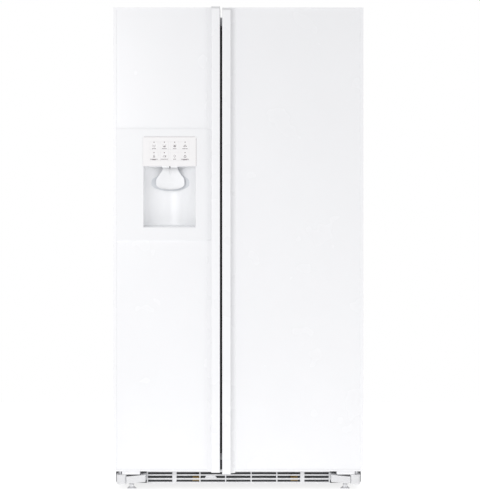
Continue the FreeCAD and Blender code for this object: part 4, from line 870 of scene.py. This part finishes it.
def fit_drawers():
    """Grip rails on the drawers and the basket, and the humidity slides of the crisper drawers."""
    for node in ("crisper_drawer_lower", "crisper_drawer_upper", "freezer_basket"):
        low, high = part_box(node)
        y, top = low[1], high[2]
        rail = Shape()
        section = rounded(y - 1.5 * MM, top - 24 * MM, y + 4 * MM, top + 1.5 * MM, 2 * MM, 4)
        rail.prism(section, low[0] + 2 * MM, high[0] - 2 * MM, "x")
        rail.piece(f"{node}_rail", LOOKS["white_trim"], f"{node}_body", "white_trim")
        if node == "freezer_basket":
            continue
        slide = Shape()
        face = y + 10 * MM
        middle = (low[0] + high[0]) / 2
        slide.block((middle - 45 * MM, face - 2.5 * MM, top - 52 * MM),
                    (middle + 45 * MM, face, top - 34 * MM), 5 * MM)
        slide.block((middle - 8 * MM, face - 6 * MM, top - 49 * MM),
                    (middle + 8 * MM, face - 2 * MM, top - 37 * MM), 2.5 * MM)
        slide.piece(f"{node}_slide", LOOKS["white_trim"], f"{node}_body", "white_trim",
                    eased=0.6 * MM)


AUGER_X, AUGER_Z, AUGER_RADIUS = -0.251, 1.392, 0.032
AUGER_START, AUGER_LENGTH, AUGER_TURNS = -0.150, 0.40, 7
STEPS_A_TURN = 16


def fit_ice_maker():
    """The ejector's fingers and the feeler arm over the mould, and the bucket's auger."""
    low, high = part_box("ice_maker")
    middle = (low[0] + high[0]) / 2
    fingers = Shape()
    fingers.lathe([(4.5 * MM, 0.058), (4.5 * MM, 0.252)], (middle, 0, 1.648), "y", 20)
    for i in range(7):
        y = 0.075 + i * 0.0265
        fingers.prism([(middle - 46 * MM, 1.6500), (middle, 1.6445), (middle, 1.6535),
                       (middle - 46 * MM, 1.6525)], y, y + 5 * MM)
    fingers.piece("ice_ejector", LOOKS["fan_plastic"], "cabinet", "ice_maker_grey",
                  eased=0.5 * MM)
    arm = Shape()
    root, side = high[0] - 3 * MM, high[0] + 5 * MM
    path = [(root, 0.030, 1.600), (side, 0.034, 1.598), (side, 0.060, 1.575), (side, 0.090, 1.556),
            (side, 0.200, 1.552), (side, 0.232, 1.570), (side, 0.248, 1.600), (root, 0.252, 1.604)]
    arm.tube(path, 1.5 * MM)
    arm.piece("ice_feeler_arm", SCREW, "cabinet", "ice_maker_grey")
    auger = Shape()
    steps = AUGER_TURNS * STEPS_A_TURN
    helix = []
    for i in range(steps + 1):
        angle = 2 * math.pi * AUGER_TURNS * i / steps
        helix.append((AUGER_X + AUGER_RADIUS * math.cos(angle),
                      AUGER_START + AUGER_LENGTH * i / steps,
                      AUGER_Z + AUGER_RADIUS * math.sin(angle)))
    auger.tube(helix, 3.5 * MM, 10)
    auger.lathe([(6 * MM, -0.160), (6 * MM, 0.262)], (AUGER_X, 0, AUGER_Z), "y", 20)
    auger.piece("ice_auger", SCREW, "ice_bucket_body", "basket_white")


# ---------------------------------------------------------------- stage, light and camera
FLOOR_HALF, FLOOR_GLOW = 2.7, 0.82
WORLD_SEEN, WORLD_LIGHT = 1.0, 0.50     # the surround's strength: to the camera, and as light
LIGHTS_AIM = (0, -0.33, 1.15)
# each soft box: name, place, side in metres and watts
LIGHTS = (("key", (-1.75, -4.85, 1.75), 1.7, 70), ("fill", (2.4, -4.5, 1.8), 2.0, 21))
CAMERA_AT, CAMERA_SENSOR, CAMERA_LENS = (0.006, -5.425, 0.8845), 36, 101


def set_floor():
    """A pale floor."""
    data = bpy.data.meshes.new("floor")
    corners = rounded(-FLOOR_HALF, -FLOOR_HALF, FLOOR_HALF, FLOOR_HALF, 0)
    data.from_pydata([(x, y, 0) for x, y in corners], [], [(0, 1, 2, 3)])
    floor = bpy.data.objects.new("floor", data)
    bpy.context.collection.objects.link(floor)
    look = Look("studio_floor", Emission_Color=(1, 1, 1, 1), Emission_Strength=FLOOR_GLOW)
    look.colour(look.noise(0.6, 3), (0.45, 0.45, 0.45), (0.48, 0.48, 0.48))
    look.rough(look.noise(0.1), 0.7, 0.8)
    data.materials.append(look.material)


def set_world():
    """An even white surround."""
    world = bpy.data.worlds.new("studio")
    world.use_nodes = True
    bpy.context.scene.world = world
    nodes, links = world.node_tree.nodes, world.node_tree.links
    background = nodes["Background"]
    ray = nodes.new("ShaderNodeLightPath")
    level = nodes.new("ShaderNodeMapRange")
    level.inputs["To Min"].default_value = WORLD_LIGHT
    level.inputs["To Max"].default_value = WORLD_SEEN
    links.new(ray.outputs["Is Camera Ray"], level.inputs["Value"])
    links.new(level.outputs["Result"], background.inputs["Strength"])
    background.inputs["Color"].default_value = (1, 1, 1, 1)


def set_lights():
    """Two soft boxes either side of the camera."""
    for name, spot, size, power in LIGHTS:
        lamp = bpy.data.lights.new(name, "AREA")
        lamp.size, lamp.energy = size, power
        made = bpy.data.objects.new(name, lamp)
        made.location = spot
        towards = Vector(LIGHTS_AIM) - Vector(spot)
        made.rotation_euler = towards.to_track_quat("-Z", "Y").to_euler()
        bpy.context.collection.objects.link(made)


def set_camera():
    """The photograph's level, frontal view."""
    lens = bpy.data.cameras.new("camera")
    lens.sensor_width, lens.lens = CAMERA_SENSOR, CAMERA_LENS
    camera = bpy.data.objects.new("camera", lens)
    camera.location = CAMERA_AT
    camera.rotation_euler = (math.radians(90), 0, 0)
    bpy.context.collection.objects.link(camera)
    scene = bpy.context.scene
    scene.camera = camera
    scene.view_settings.view_transform = "Standard"


dress_frame()
print_keys()
outline_overlay()
sculpt_paddle()
fit_recess()
paint_pocket_shade()
line_tray()
fit_base()
fit_hinge_caps()
fit_seals()
line_mullion()
trim_bins()
trim_shelves()
fit_rooms()
fit_drawers()
fit_ice_maker()
set_floor()
set_world()
set_lights()
set_camera()
